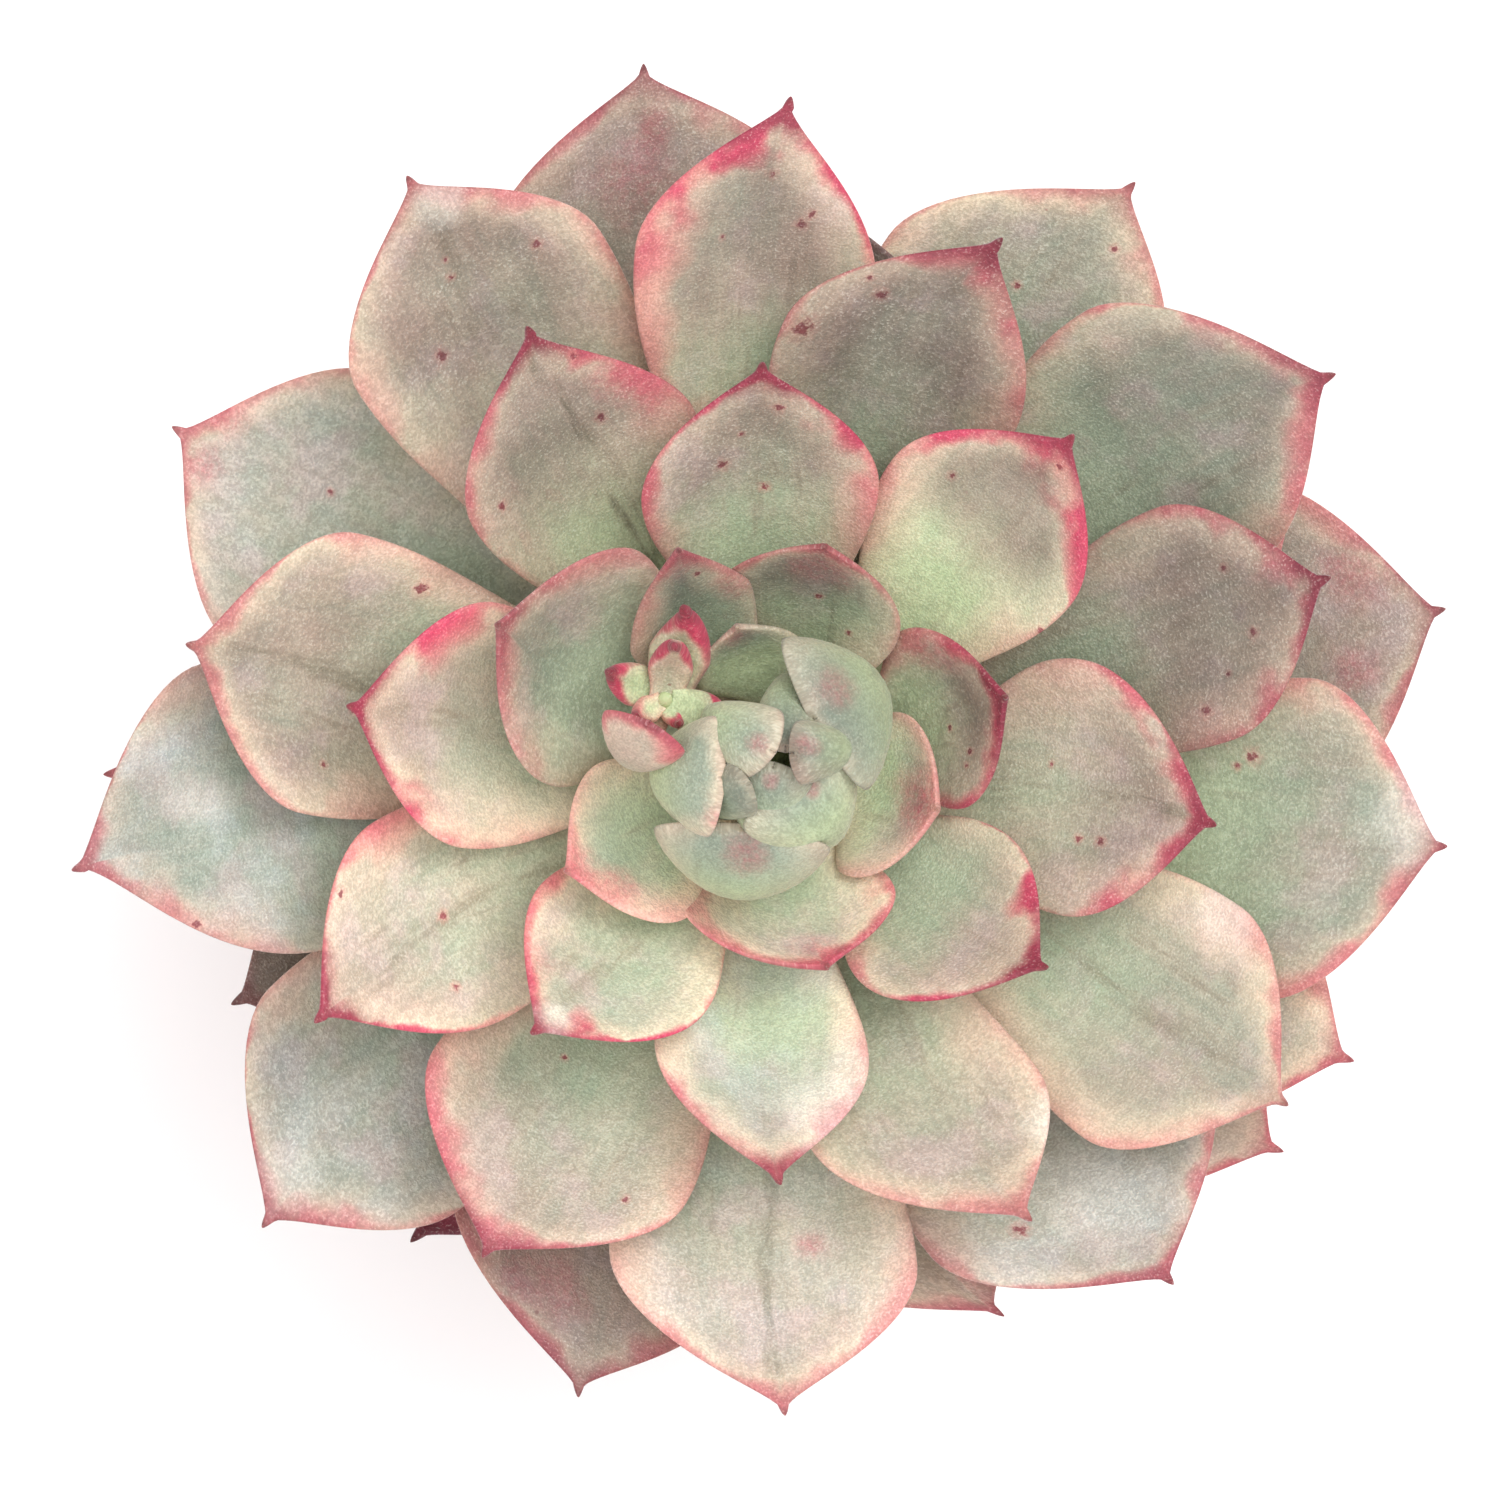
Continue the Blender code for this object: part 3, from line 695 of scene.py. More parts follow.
def from_margin(tree, skin, start, end, **values):
    """A soft change with the distance from the margin, along a ragged line."""
    ragged = total(tree, skin.edge, product(tree, skin.ragged, 2.6))
    return soft_step(tree, ragged, start, end, **values)


def dusk_mask(tree, effects, skin):
    """Where the leaf's outer half is dusky."""
    dusky = mottled(tree, effects, skin.place, 7.5, 0.34, 0.62)
    return product(
        tree,
        skin.own["dusk"],
        soft_step(tree, skin.share, 0.48, 0.74, low=0.06),
        from_margin(tree, skin, 0.3, 6.5, low=0.1),
        total(tree, 0.62, product(tree, dusky, 0.38)),
    )


def midline_mask(tree, skin):
    """A wandering, broken line down the middle, for painted crease shade and a bumped groove."""
    wander = maths(tree, "SUBTRACT", cloud(tree, skin.place, 5, detail=2), 0.5)
    left = split(tree, skin.place)["X"]
    across = maths(tree, "ABSOLUTE", total(tree, left, product(tree, wander, 3.0)))
    line = soft_step(tree, across, 2.2, 0, high=0.75)
    return product(tree, line, skin.own["crease"], soft_step(tree, skin.streak, 0.42, 0.6))


def face_colour(tree, effects, skin, dusk):
    """Grey-green going over to beige, fresh green at the root, with smudges and dark streaks."""
    warm = total(
        tree,
        skin.own["warmth"],
        product(tree, dusk, 0.5),
        maths(tree, "SUBTRACT", skin.share, 0.72),
        from_margin(tree, skin, 7, 1, high=0.3),
        product(tree, maths(tree, "SUBTRACT", skin.broad, 0.5), 1.3),
    )
    streaky = product(tree, maths(tree, "SUBTRACT", skin.streak, 0.5), 0.7)
    warm = maths(tree, "ADD", warm, streaky, clamp=True)
    fresh = product(tree, skin.own["fresh"], soft_step(tree, skin.share, 0.95, 0.4))
    colour = coat(tree, warm, coat(tree, fresh, GREY_GREEN, FRESH_GREEN), BEIGE)
    smudges = product(
        tree,
        mottled(tree, effects, skin.place, 5.6, 0.47, 0.68),
        soft_step(tree, skin.share, 0.3, 0.75),
        soft_step(tree, skin.own["fresh"], 1.2, 0.6, high=0.5),
    )
    colour = coat(tree, smudges, colour, LILAC)
    inside = soft_step(tree, skin.edge, 1, 6)
    dark_streak = product(tree, soft_step(tree, skin.streak, 0.56, 0.72), inside, 0.3)
    return coat(tree, dark_streak, colour, STREAK_AND_CREASE_SHADE)


def margin_colour(tree, skin, powder, colour):
    """Cream at the margin, a waxy bloom over the face, and a salmon blush along the edge."""
    cream_width = total(tree, 3.6, product(tree, skin.uneven, 3.6))
    cream = product(tree, from_margin(tree, skin, cream_width, 0.0), skin.own["cream"])
    colour = coat(tree, cream, colour, CREAM)
    bloom = maths(tree, "MULTIPLY", skin.own["bloom"], total(tree, 0.35, powder), clamp=True)
    colour = coat(tree, bloom, colour, BLOOM)
    salmon = product(
        tree,
        from_margin(tree, skin, product(tree, skin.uneven, 3.8), 0.0),
        skin.own["blush"],
        soft_step(tree, skin.share, 0.35, 0.85, low=0.45),
    )
    return coat(tree, salmon, colour, SALMON)


def rosy_colour(tree, effects, skin, colour):
    """A pink rim, widest and strongest near the tip, and a crimson wedge down from the tip."""
    rose = skin.own["rose"]
    patchy = mottled(tree, effects, skin.place, 5.0, 0.36, 0.62)
    rim_width = product(
        tree,
        skin.uneven,
        soft_step(tree, skin.down, 16, 3, low=1.3, high=4.2),
        total(tree, 0.55, product(tree, patchy, 0.6)),
        total(tree, 0.4, product(tree, rose, 1.1)),
    )
    rim_edge = total(tree, skin.edge, product(tree, skin.ragged, 1.2))
    rim = product(
        tree,
        soft_step(tree, rim_edge, rim_width, 0.1),
        rose,
        total(tree, 0.3, patchy),
        soft_step(tree, skin.down, 20, 7, low=0.25),
    )
    colour = coat(tree, maths(tree, "MINIMUM", rim, 1.0), colour, PINK)
    ragged_edge = total(tree, skin.edge, product(tree, skin.ragged, 2.6))
    ragged_down = total(tree, skin.down, product(tree, skin.ragged, 4.0))
    wedge = total(tree, product(tree, ragged_down, 0.7), product(tree, ragged_edge, 0.9))
    deep = soft_step(tree, rose, 0, 0.85, high=1.15)
    tip = product(tree, soft_step(tree, wedge, 6.2, 0.8), deep)
    return coat(tree, maths(tree, "MINIMUM", tip, 0.95), colour, CRIMSON)


def marked_colour(tree, effects, skin, colour):
    """A pale patch, mostly painted glare and partly waxy bloom; blotches and scars, scattered
    freckles, and a brown point.
    """
    place = skin.place
    where = read(tree, "pale", "OBJECT", "Vector")
    pale = use(tree, effects.mark, Place=place, Mark=where, Ragged=skin.ragged)
    # the pale patch: mostly painted glare, partly the waxy bloom's white
    colour = coat(tree, product(tree, pale["Halo"], 0.4), colour, GLARE_AND_BLOOM_WHITE)
    speckled = maths(tree, "ADD", product(tree, skin.fine, 1.5), 0.7, clamp=True)
    for number in range(1, BLOTCHES + 1):
        where = read(tree, f"blotch_{number}", "OBJECT", "Vector")
        blotch = use(tree, effects.mark, Place=place, Mark=where, Ragged=skin.ragged)
        colour = coat(tree, product(tree, blotch["Halo"], speckled, 0.5), colour, PINK)
    freckles = flecked(tree, effects, place, 4.2, 0.26, 0.13)
    colour = coat(tree, product(tree, freckles, 0.55), colour, FRECKLE)
    for number in range(1, MARKS + 1):
        where = read(tree, f"mark_{number}", "OBJECT", "Vector")
        mark = use(tree, effects.mark, Place=place, Mark=where, Ragged=skin.fine)
        colour = coat(tree, product(tree, mark["Halo"], 0.4), colour, SALMON)
        colour = coat(tree, product(tree, mark["Spot"], 0.85), colour, FRECKLE)
    point = soft_step(tree, skin.down, 1.1, 0.2, high=0.65)
    point = product(tree, point, soft_step(tree, skin.own["rose"], 0.1, 0.35))
    return coat(tree, point, colour, POINT_BROWN)


def shaded_colour(tree, skin, dusk, grains, powder, colour):
    """Lighter and darker by grain, streak, dusk and the leaf's light, partly painted light and
    shade; with painted glints on the brightest grains.
    """
    shade = product(
        tree,
        soft_step(tree, grains["Grain"], 0, 1, low=0.84, high=1.12),
        soft_step(tree, dusk, 0, 1, low=1.0, high=0.5),
        soft_step(tree, skin.streak, 0.3, 0.7, low=0.94, high=1.06),
        # the leaf's light: partly its own tone, partly painted light and shade for how light falls
        # on it
        total(tree, 0.8, product(tree, skin.own["light"], 0.5)),
    )
    grey = tree.nodes.new("ShaderNodeCombineColor")
    for channel in grey.inputs:
        wire(tree, shade, channel)
    colour = coat(tree, 1.0, colour, grey.outputs[0], blend="MULTIPLY")
    # painted glints: the brightest grains turn near-white, more on the upper face and where powdery
    glint = total(
        tree, 0.04, product(tree, read(tree, "upper"), 0.05), product(tree, powder, 0.09)
    )
    return coat(tree, product(tree, grains["Sparkle"], glint), colour, PAINTED_GLINT)


def leaf_material(effects):
    """Waxy leaf skin. Each leaf's own properties say how warm, light, creamy or rosy it is; its
    light is partly painted light and shade.
    """
    made, tree, shader = new_material("leaf skin")
    skin = skin_values(tree)
    grains = use(tree, effects.grain, Place=skin.place, Size=0.22, **{"Sparkle Level": 0.6})
    powder = mottled(tree, effects, skin.place, 6.5, 0.4, 0.72)
    dusk = dusk_mask(tree, effects, skin)
    midline = midline_mask(tree, skin)
    colour = face_colour(tree, effects, skin, dusk)
    # painted shade down the midline, where the leaf creases
    colour = coat(tree, midline, colour, STREAK_AND_CREASE_SHADE)
    colour = margin_colour(tree, skin, powder, colour)
    colour = rosy_colour(tree, effects, skin, colour)
    colour = marked_colour(tree, effects, skin, colour)
    colour = shaded_colour(tree, skin, dusk, grains, powder, colour)
    wire(tree, colour, shader.inputs["Base Color"])

    roughen(tree, grains, shader, 0.56, 0.38)
    relief = total(
        tree,
        product(tree, grains["Grain"], 0.05),
        product(tree, skin.broad, 1.1),
        product(tree, skin.streak, 0.12),
        product(tree, midline, -0.12),
    )
    bump(tree, relief, shader, 0.65)
    shader.inputs["Specular IOR Level"].default_value = 0.4
    shader.inputs["Sheen Weight"].default_value = 0.12
    shader.inputs["Sheen Roughness"].default_value = 0.45
    shader.inputs["Subsurface Weight"].default_value = 0.12
    shader.inputs["Subsurface Radius"].default_value = (1.0, 0.55, 0.35)
    shader.inputs["Subsurface Scale"].default_value = 1.6 * MM
    return made


# How each leaf is coloured. warmth, which may be below 0, turns it from green to beige; cream and
# blush colour its margins, rose its tip and rim, fresh its root, bloom powders it, crease paints
# shade down its midline and dusk darkens its outer half: all from 0 to about 1, but fresh is 2
# where it reaches up the whole leaf. light is from -1.2, dark, to 1; it is partly the leaf's own
# tone and partly painted light and shade, for how the light falls on the whole leaf. lean, from -1
# to 1, moves the margins' colour to the left.
Tint = namedtuple(
    "Tint",
    "warmth light cream blush rose fresh bloom crease dusk lean",
    defaults=(0.3, 0.0, 0.45, 0.5, 0.5, 0.4, 0.0, 0.2, 0.3, 0.0),
)

TINTS = {
    0: Tint(0.4, 0.25, blush=0.8, dusk=0),
    1: Tint(0.7, 0.15, blush=1, dusk=0.1),
    2: Tint(0.45, -0.3, cream=0.3, blush=0.35, rose=0.5, dusk=0.45),
    3: Tint(0.9, -0.9, cream=0, blush=1, rose=1),
    4: Tint(0.6, -0.3, cream=0.9, blush=0.35, bloom=0.1, dusk=0.3),
    5: Tint(0.2, 0.15, cream=0.6, blush=0.4, rose=0.4, dusk=0.15, bloom=0.2),
    6: Tint(0.6, 0.1, blush=0.5, dusk=0.2),
    7: Tint(0.1, 0.1, cream=0.8, blush=0.25, rose=0.45, dusk=0.35),
    8: Tint(0.9, -1.0, cream=0, blush=0.2, rose=0.3),
    9: Tint(0.3, 0.3, cream=0.9, blush=0.6, dusk=0),
    11: Tint(0.6, -0.55, blush=0.6, dusk=0.35),
    14: Tint(0.2, -0.15, cream=0.6, blush=0.4, bloom=0.35, crease=0.5, dusk=0.25),
    15: Tint(0.7, -1.15, cream=0, blush=0.1, rose=0.2),
    16: Tint(0.1, -0.2, cream=0.6, blush=0.5, bloom=0.3, dusk=0.3),
    17: Tint(0.0, -0.05, cream=0.4, blush=0.5, fresh=0.8, dusk=0.4),
    18: Tint(0.35, -0.1, cream=0.45, blush=0.5, rose=0.45, crease=0.5, dusk=0.7),
    19: Tint(0.45, 0.2, cream=0.6, blush=0.4, rose=0.4, bloom=0.15, crease=0.8, dusk=0.15),
    20: Tint(-0.05, -0.25, cream=0.4, blush=0.45, rose=0.55, dusk=0.7),
    21: Tint(0.1, -0.2, cream=0.5, blush=0.5, rose=0.4, bloom=0.45, dusk=0.15),
    22: Tint(0.25, 0, cream=0.85, blush=0.5, rose=0.35, dusk=0.3, crease=0.5, lean=0.5),
    23: Tint(0.35, 0.1, cream=0.3, blush=0.9, rose=0.9, dusk=0.9, lean=0.8, fresh=0.6),
    24: Tint(0.3, 0.05, cream=0.5, blush=0.6, rose=0.6, dusk=0.3, lean=-0.4),
    25: Tint(0.45, -0.5, cream=0.3, blush=0.5, rose=0.7, dusk=0.85),
    26: Tint(0.4, 0.0, cream=0.6, blush=0.5, rose=0.4, crease=0.7, dusk=0.5),
    27: Tint(0.4, 0.05, cream=0.6, blush=0.4, rose=0.35, dusk=0.2, lean=0.3),
    28: Tint(0.4, -0.45, cream=0.35, blush=0.6, rose=0.6, dusk=0.9, lean=-0.3),
    29: Tint(0.5, 0.4, cream=0.5, blush=0.9, rose=0.75, crease=0.6, dusk=0.15, lean=-0.6),
    30: Tint(0.55, -0.05, cream=0.3, blush=0.5, rose=0.7, crease=0.7, dusk=0.6),
    31: Tint(0.4, -0.25, 0.35, 0.65, 0.65, crease=0.9, dusk=0.7, lean=-0.5, fresh=1),
    32: Tint(0.2, 0.2, cream=0.9, blush=0.35, rose=0.6, fresh=0.7, bloom=0.25, dusk=0.2),
    33: Tint(0.3, 0.2, cream=0.4, blush=0.5, rose=0.85, fresh=1, dusk=0.9),
    34: Tint(0.45, 0.35, cream=0.7, blush=0.5, rose=0.8, dusk=0.45, lean=-0.3),
    35: Tint(0.35, -0.08, cream=0.6, blush=0.5, rose=0.9, fresh=0.4, dusk=0.2),
    36: Tint(0.3, -0.1, cream=0.2, blush=0.8, rose=0.8, fresh=0.6, dusk=0.7),
    37: Tint(0.25, 0.4, cream=0.7, blush=1, rose=1, fresh=0.4, dusk=0.15, lean=-0.7),
    38: Tint(0.35, -0.2, cream=0.2, blush=0.8, rose=0.8, fresh=0.8, dusk=0.7, lean=0.3),
    39: Tint(0.0, -0.1, cream=0.4, blush=0.3, rose=0.45, dusk=0.5),
    40: Tint(0.3, 0.5, cream=0.7, blush=0.5, rose=0.5, fresh=0.4, dusk=0.3, lean=-0.3),
    41: Tint(-0.05, -0.3, cream=0.75, blush=0.5, rose=0.35, fresh=0.7, dusk=0.65),
    42: Tint(0.1, 0.75, cream=0.65, blush=0.4, rose=0.3, dusk=0.05, lean=0.6, fresh=0.5),
    43: Tint(0.1, 0.2, cream=0.6, blush=0.3, rose=0.2, dusk=0.5, fresh=0.8),
    44: Tint(-0.1, -0.4, cream=0.6, blush=0.5, rose=0.4, dusk=0.6, lean=0.4),
    45: Tint(-0.5, -0.05, cream=0.45, blush=0, rose=0.08, fresh=2, crease=0, dusk=0.2),
    46: Tint(-0.5, -0.3, cream=0.3, blush=0, rose=0.05, fresh=2, crease=0, dusk=0.3),
    47: Tint(-0.35, 0.1, cream=0.55, blush=0.05, rose=0.1, fresh=2, crease=0, dusk=0),
    48: Tint(-0.5, -0.05, cream=0.4, blush=0, rose=0.05, fresh=2, crease=0, dusk=0.2),
    49: Tint(-0.3, -0.2, cream=0.45, blush=0.05, rose=0.05, fresh=2, crease=0, dusk=0.4),
    50: Tint(-0.5, -0.5, cream=0.3, blush=0, rose=0.05, fresh=2, crease=0, dusk=0),
    51: Tint(-0.3, -0.5, cream=0.2, blush=0.05, rose=0.1, fresh=2, crease=0, dusk=0),
    52: Tint(-0.35, -0.05, cream=0.4, blush=0.05, rose=0.1, fresh=2, crease=0, dusk=0),
    57: Tint(-0.3, -0.4, cream=0.2, blush=0.05, rose=0.1, fresh=2, crease=0, dusk=0),
    58: Tint(-0.4, -0.1, cream=0.3, blush=0, rose=0.05, fresh=2, crease=0, dusk=0),
}

# Marks on some of the leaves, in mm: left of the midline, down from the tip, and the mark's radius.
SPOTS = {
    5: ((-2, 15, 0.3),),
    7: ((2.4, 13, 0.35), (-2.5, 6, 0.3)),
    14: ((-6.9, 11.5, 0.6),),
    17: ((7, 18, 0.55), (6, 19.5, 0.3)),
    18: ((-6.7, 11.2, 0.42), (1.2, 10, 0.3), (5.6, 15.2, 0.5), (0.8, 8.4, 0.22)),
    19: ((6, 24, 0.3),),
    21: ((7.7, 10.5, 0.4),),
    23: ((-2.8, 12.1, 0.45), (-3.6, 11.1, 0.35), (0.3, 7.4, 0.4), (4, 13, 0.25)),
    24: ((8, 11, 0.3), (-3, 20, 0.25)),
    25: ((-7.4, 14.7, 0.5), (3.8, 9.3, 0.3), (-2.3, 8.8, 0.4), (-5, 12, 0.25)),
    26: ((-8.7, 20, 0.55), (8, 14.5, 0.3), (3, 17, 0.25)),
    28: ((10.6, 13.2, 0.85), (7.5, 7.6, 0.3), (5.7, 9, 0.5)),
    29: ((-0.8, 16.3, 0.4), (-7.5, 7.6, 0.35), (5, 14, 0.35)),
    30: ((-4.1, 13.5, 0.35), (-4, 11.3, 0.4), (2, 17, 0.25)),
    31: ((-2.6, 5.2, 0.4), (-2.3, 12, 0.45), (9, 13, 0.35)),
    33: ((6, 11.2, 0.35), (-0.8, 3.6, 0.45), (-8.8, 16, 0.35)),
    36: ((3.3, 11, 0.45), (-0.3, 14, 0.4), (-1.6, 5.4, 0.45), (1.6, 8, 0.25)),
    38: ((-3.5, 7, 0.3), (-4.6, 7.6, 0.25), (-1, 9, 0.25)),
    40: ((5.5, 3.2, 0.35),),
    41: ((1, 7, 0.3), (-2, 10, 0.25)),
    44: ((-1, 5, 0.3),),
}
# Pale patches of painted glare, partly the waxy bloom's white: left, down and radius, in mm.
GLARE_AND_BLOOM_SPOTS = {
    14: (0.3, 11, 3.2),
    16: (-0.9, 5.2, 1.8),
    17: (2.5, 4.3, 2.4),
    18: (-1.0, 3.7, 1.5),
    21: (-3, 13, 1.9),
    22: (10.8, 13.5, 2.2),
    27: (7.5, 7, 1.8),
    32: (5.4, 8.2, 2.6),
    37: (0, 3.3, 1.2),
}
BLOTCH_SPOTS = {
    2: ((1.2, 9.6, 2.4), (-0.8, 6, 1.2)),
    4: ((5, 7, 2.0), (-3.4, 9, 1.4)),
    5: ((1.7, 4, 1.2), (-3.3, 4, 1.1)),
    11: ((-2.9, 8.4, 1.9), (-6.9, 8, 1.5)),
    19: ((3.6, 15.5, 0.9),),
    31: ((-5.5, 9, 1.8), (-7, 12, 1.6)),
    37: ((-5.3, 6, 1.5), (-3, 3.4, 1.2)),
    38: ((5.4, 5.2, 1.3), (6.2, 8, 1.1)),
    40: ((0.6, 2.2, 1.5),),
    41: ((-0.5, 2.6, 1.6), (2.5, 3.5, 1.2)),
    42: ((0.5, 1.6, 1.6), (3.0, 5.0, 1.3)),
    43: ((1.0, 3, 1.6), (-1, 1.8, 1.5)),
    44: ((-3.9, 8.6, 1.2), (0.3, 1.8, 1.6)),
    45: ((0.6, 2.1, 1.3),),
    46: ((1.6, 2.6, 1.2),),
    47: ((3.8, 1.0, 0.8),),
    48: ((1.2, 1.6, 0.5),),
    49: ((0.4, 1.4, 0.9),),
    51: ((0.6, 1.2, 0.6),),
    52: ((0, 1.0, 0.6),),
    58: ((0, 1.0, 0.4),),
}


def colour_leaf(obj, number, tint, half):
    """Give a leaf the properties that its skin reads. Margins are narrower on a narrower leaf."""
    obj["size"] = min(1.0, (half / FULL_HALF_WIDTH) ** 0.7)
    for name, value in tint._asdict().items():
        obj[name] = float(value)
    for place, spot in enumerate(SPOTS.get(number, ())[:MARKS], start=1):
        obj[f"mark_{place}"] = [float(value) for value in spot]
    for place, spot in enumerate(BLOTCH_SPOTS.get(number, ())[:BLOTCHES], start=1):
        obj[f"blotch_{place}"] = [float(value) for value in spot]
    # the pale patch of painted glare, partly waxy bloom
    obj["pale"] = [float(value) for value in GLARE_AND_BLOOM_SPOTS.get(number, (0, 0, 0))]


def grow_leaves(skin):
    blades = {leaf.number: blade_of(leaf) for leaf in LEAVES}
    blades.update({shell.number: shell_blade(shell) for shell in SHELLS})
    for place, number in enumerate(sorted(blades), start=1):
        node_name = f"leaf_{place:02d}"
        blade = blades[number]
        obj = show(f"{node_name}_skin", leaf_mesh(f"{node_name}_skin", blade), CROWN)
        obj.data.materials.append(skin)
        half = (blade.left.half + blade.right.half) / 2 / MM
        colour_leaf(obj, number, TINTS.get(number, Tint()), half)
        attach(obj, "root")
        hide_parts(node_name)


# ---------------------------------------------------------------- offset

# azimuth and swing in degrees; reach, width and height of the root above the offset's foot in mm;
# the slope at the tip in degrees; how full the sides stay towards the tip.
OffsetLeaf = namedtuple("OffsetLeaf", "azimuth swing reach width root rise full")

OFFSET_AZIMUTH = 151.4
OFFSET_DISTANCE = 11.8 * MM
OFFSET_BASE = 31.5 * MM
OFFSET_ROOT = 0.5 * MM  # the leaves' roots stand this far from its own axis
OFFSET_LEAF_SLOPE = 20
OFFSET_WIDEST = 0.42  # as a share of the leaf's length
OFFSET_PLUMPNESS = 0.46  # thickness as a share of the width
OFFSET_DISH = -0.14  # as a share of the width; below 0, the sides turn up
OFFSET_SEED = 61  # of its first leaf
CORE_RADIUS = 1.3 * MM
CORE_HEIGHT = 2.6 * MM
STALK_RADIUS = 0.6 * MM
STALK_RUN = 5.6 * MM
STALK_DROP = 5.0 * MM
OFFSET_LEAVES = (
    OffsetLeaf(72, 8, 8.0, 6.0, 0.2, 62, 1.0),
    OffsetLeaf(154, 0, 5.4, 4.2, 0.8, 66, 1.15),
    OffsetLeaf(-24, 0, 5.0, 4.6, 2.4, 76, 2.2),
    OffsetLeaf(80, 0, 4.3, 4.4, 2.2, 88, 0.95),
    OffsetLeaf(-150, 0, 2.6, 2.8, 2.4, 88, 1.0),
    OffsetLeaf(-60, 0, 2.2, 2.4, 2.2, 86, 1.0),
)
OFFSET_SHELL = Shell(68, 243, 2.4, 5.4, 3.9, -0.3, 2.6)
OFFSET_TINTS = (
    Tint(0.5, 0.1, cream=0.3, blush=0.8, rose=1, fresh=1, crease=0, dusk=0),
    Tint(-0.2, 0.2, cream=0.5, blush=0.2, rose=1, fresh=1, crease=0, dusk=0),
    Tint(0.1, 0.2, cream=0.2, blush=0.9, rose=1, fresh=1, crease=0, dusk=0),
    Tint(0.9, 0.2, cream=0.3, blush=1, rose=1, fresh=0.4, crease=0, dusk=0),
    Tint(0.2, 0.3, cream=0.5, blush=0.9, rose=1, fresh=1, crease=0, dusk=0),
    Tint(0.0, 0.3, cream=0.5, blush=0.6, rose=1, fresh=1, crease=0, dusk=0),
    Tint(0.7, 0.1, cream=0.4, blush=1.2, rose=0.5, fresh=1, crease=0, dusk=0),
)


def offset_blade(leaf, seed):
    """A blade of the offset, about its own foot."""
    slope = math.radians(OFFSET_LEAF_SLOPE)
    end_slope = math.radians(leaf.rise)
    arc = arc_to(OFFSET_ROOT, leaf.root * MM, slope, leaf.reach * MM, end_slope)
    side = Side(0.5 * leaf.width * MM, leaf.full, OFFSET_WIDEST)
    azimuth, swing = math.radians(leaf.azimuth), math.radians(leaf.swing)
    thickness = OFFSET_PLUMPNESS * leaf.width * MM
    cup = OFFSET_DISH * leaf.width * MM
    return Blade(arc, azimuth, 0, swing, side, side, cup, thickness, seed, hollow=1.2, root=0.75)


def offset_shell_blade():
    """The offset's outer leaf, which stands up and shows its back."""
    root = OFFSET_ROOT, 0.2 * MM
    return closing_blade(OFFSET_SHELL, *root, OFFSET_LEAF_SLOPE, curl=0.8, hollow=0.8)


def tube_mesh(name, spine, radii, sides=20):
    """A closed round body along a row of points."""
    coords = []
    for i, (centre, radius) in enumerate(zip(spine, radii)):
        run = spine[min(i + 1, len(spine) - 1)] - spine[max(i - 1, 0)]
        turn = run.to_track_quat("Z", "Y")
        for j in range(sides):
            out = Vector(ring_point(radius, 2 * math.pi * j / sides))
            coords.append(tuple(centre + turn @ out))
    return smooth_mesh(name, coords, tube_faces(len(spine), sides))


def tube_faces(rows, sides):
    """The faces of a tube of closed rows, with a flat end at each side."""
    foot = tuple(reversed(range(sides)))
    head = tuple(range((rows - 1) * sides, rows * sides))
    return [*bands(rows, sides), foot, head]


def shoot_material(effects):
    """The offset's short core and stalk: smooth young stem, green with pinkish patches and painted
    glints.
    """
    made, tree, shader = new_material("young shoot")
    place = object_place(tree)
    patches = mottled(tree, effects, place, 1.6, 0.35, 0.65)
    grains = use(tree, effects.grain, Place=place, Size=0.25)
    colour = coat(tree, patches, tone(176, 190, 140), tone(206, 176, 150))
    # painted glints on the brightest grains
    colour = coat(tree, product(tree, grains["Sparkle"], 0.4), colour, PAINTED_GLINT)
    wire(tree, colour, shader.inputs["Base Color"])
    roughen(tree, grains, shader, 0.6, 0.45)
    bump(tree, product(tree, grains["Grain"], 0.05), shader, 0.5)
    return made


def grow_offset(skin, shoot):
    outwards = Vector(ring_point(1.0, math.radians(OFFSET_AZIMUTH)))
    foot = CROWN + OFFSET_BASE * Vector((0, 0, 1)) + OFFSET_DISTANCE * outwards
    pieces = []
    blades = [offset_blade(leaf, seed) for seed, leaf in enumerate(OFFSET_LEAVES, OFFSET_SEED)]
    blades.append(offset_shell_blade())
    for place, (blade, tint) in enumerate(zip(blades, OFFSET_TINTS), start=1):
        name = f"offset_leaf_{place}"
        obj = show(name, leaf_mesh(name, blade), foot)
        obj.data.materials.append(skin)
        colour_leaf(obj, blade.seed, tint, blade.left.half / MM)
        pieces.append(obj)

    steps = 12
    core = [Vector((0, 0, CORE_HEIGHT * i / steps)) for i in range(steps + 1)]
    core_radii = [CORE_RADIUS * (1 - 0.6 * (i / steps) ** 1.6) for i in range(steps + 1)]
    pieces.append(show("offset_core", tube_mesh("offset_core", core, core_radii), foot))
    joint = Vector((0, 0, 0.3 * CORE_HEIGHT))
    stalk_foot = -STALK_RUN * outwards - Vector((0, 0, STALK_DROP))
    middle = 0.5 * (joint + stalk_foot) - Vector((0, 0, 0.6 * MM))
    stalk = [curve_point(stalk_foot, middle, joint, i / steps) for i in range(steps + 1)]
    waist = [0.3 * math.sin(math.pi * i / steps) for i in range(steps + 1)]
    stalk_radii = [STALK_RADIUS * (1.15 - narrower) for narrower in waist]
    pieces.append(show("offset_stalk", tube_mesh("offset_stalk", stalk, stalk_radii), foot))
    for obj in pieces:
        if not obj.data.materials:
            obj.data.materials.append(shoot)
        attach(obj, "root")
        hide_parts("offset")


# ---------------------------------------------------------------- pot

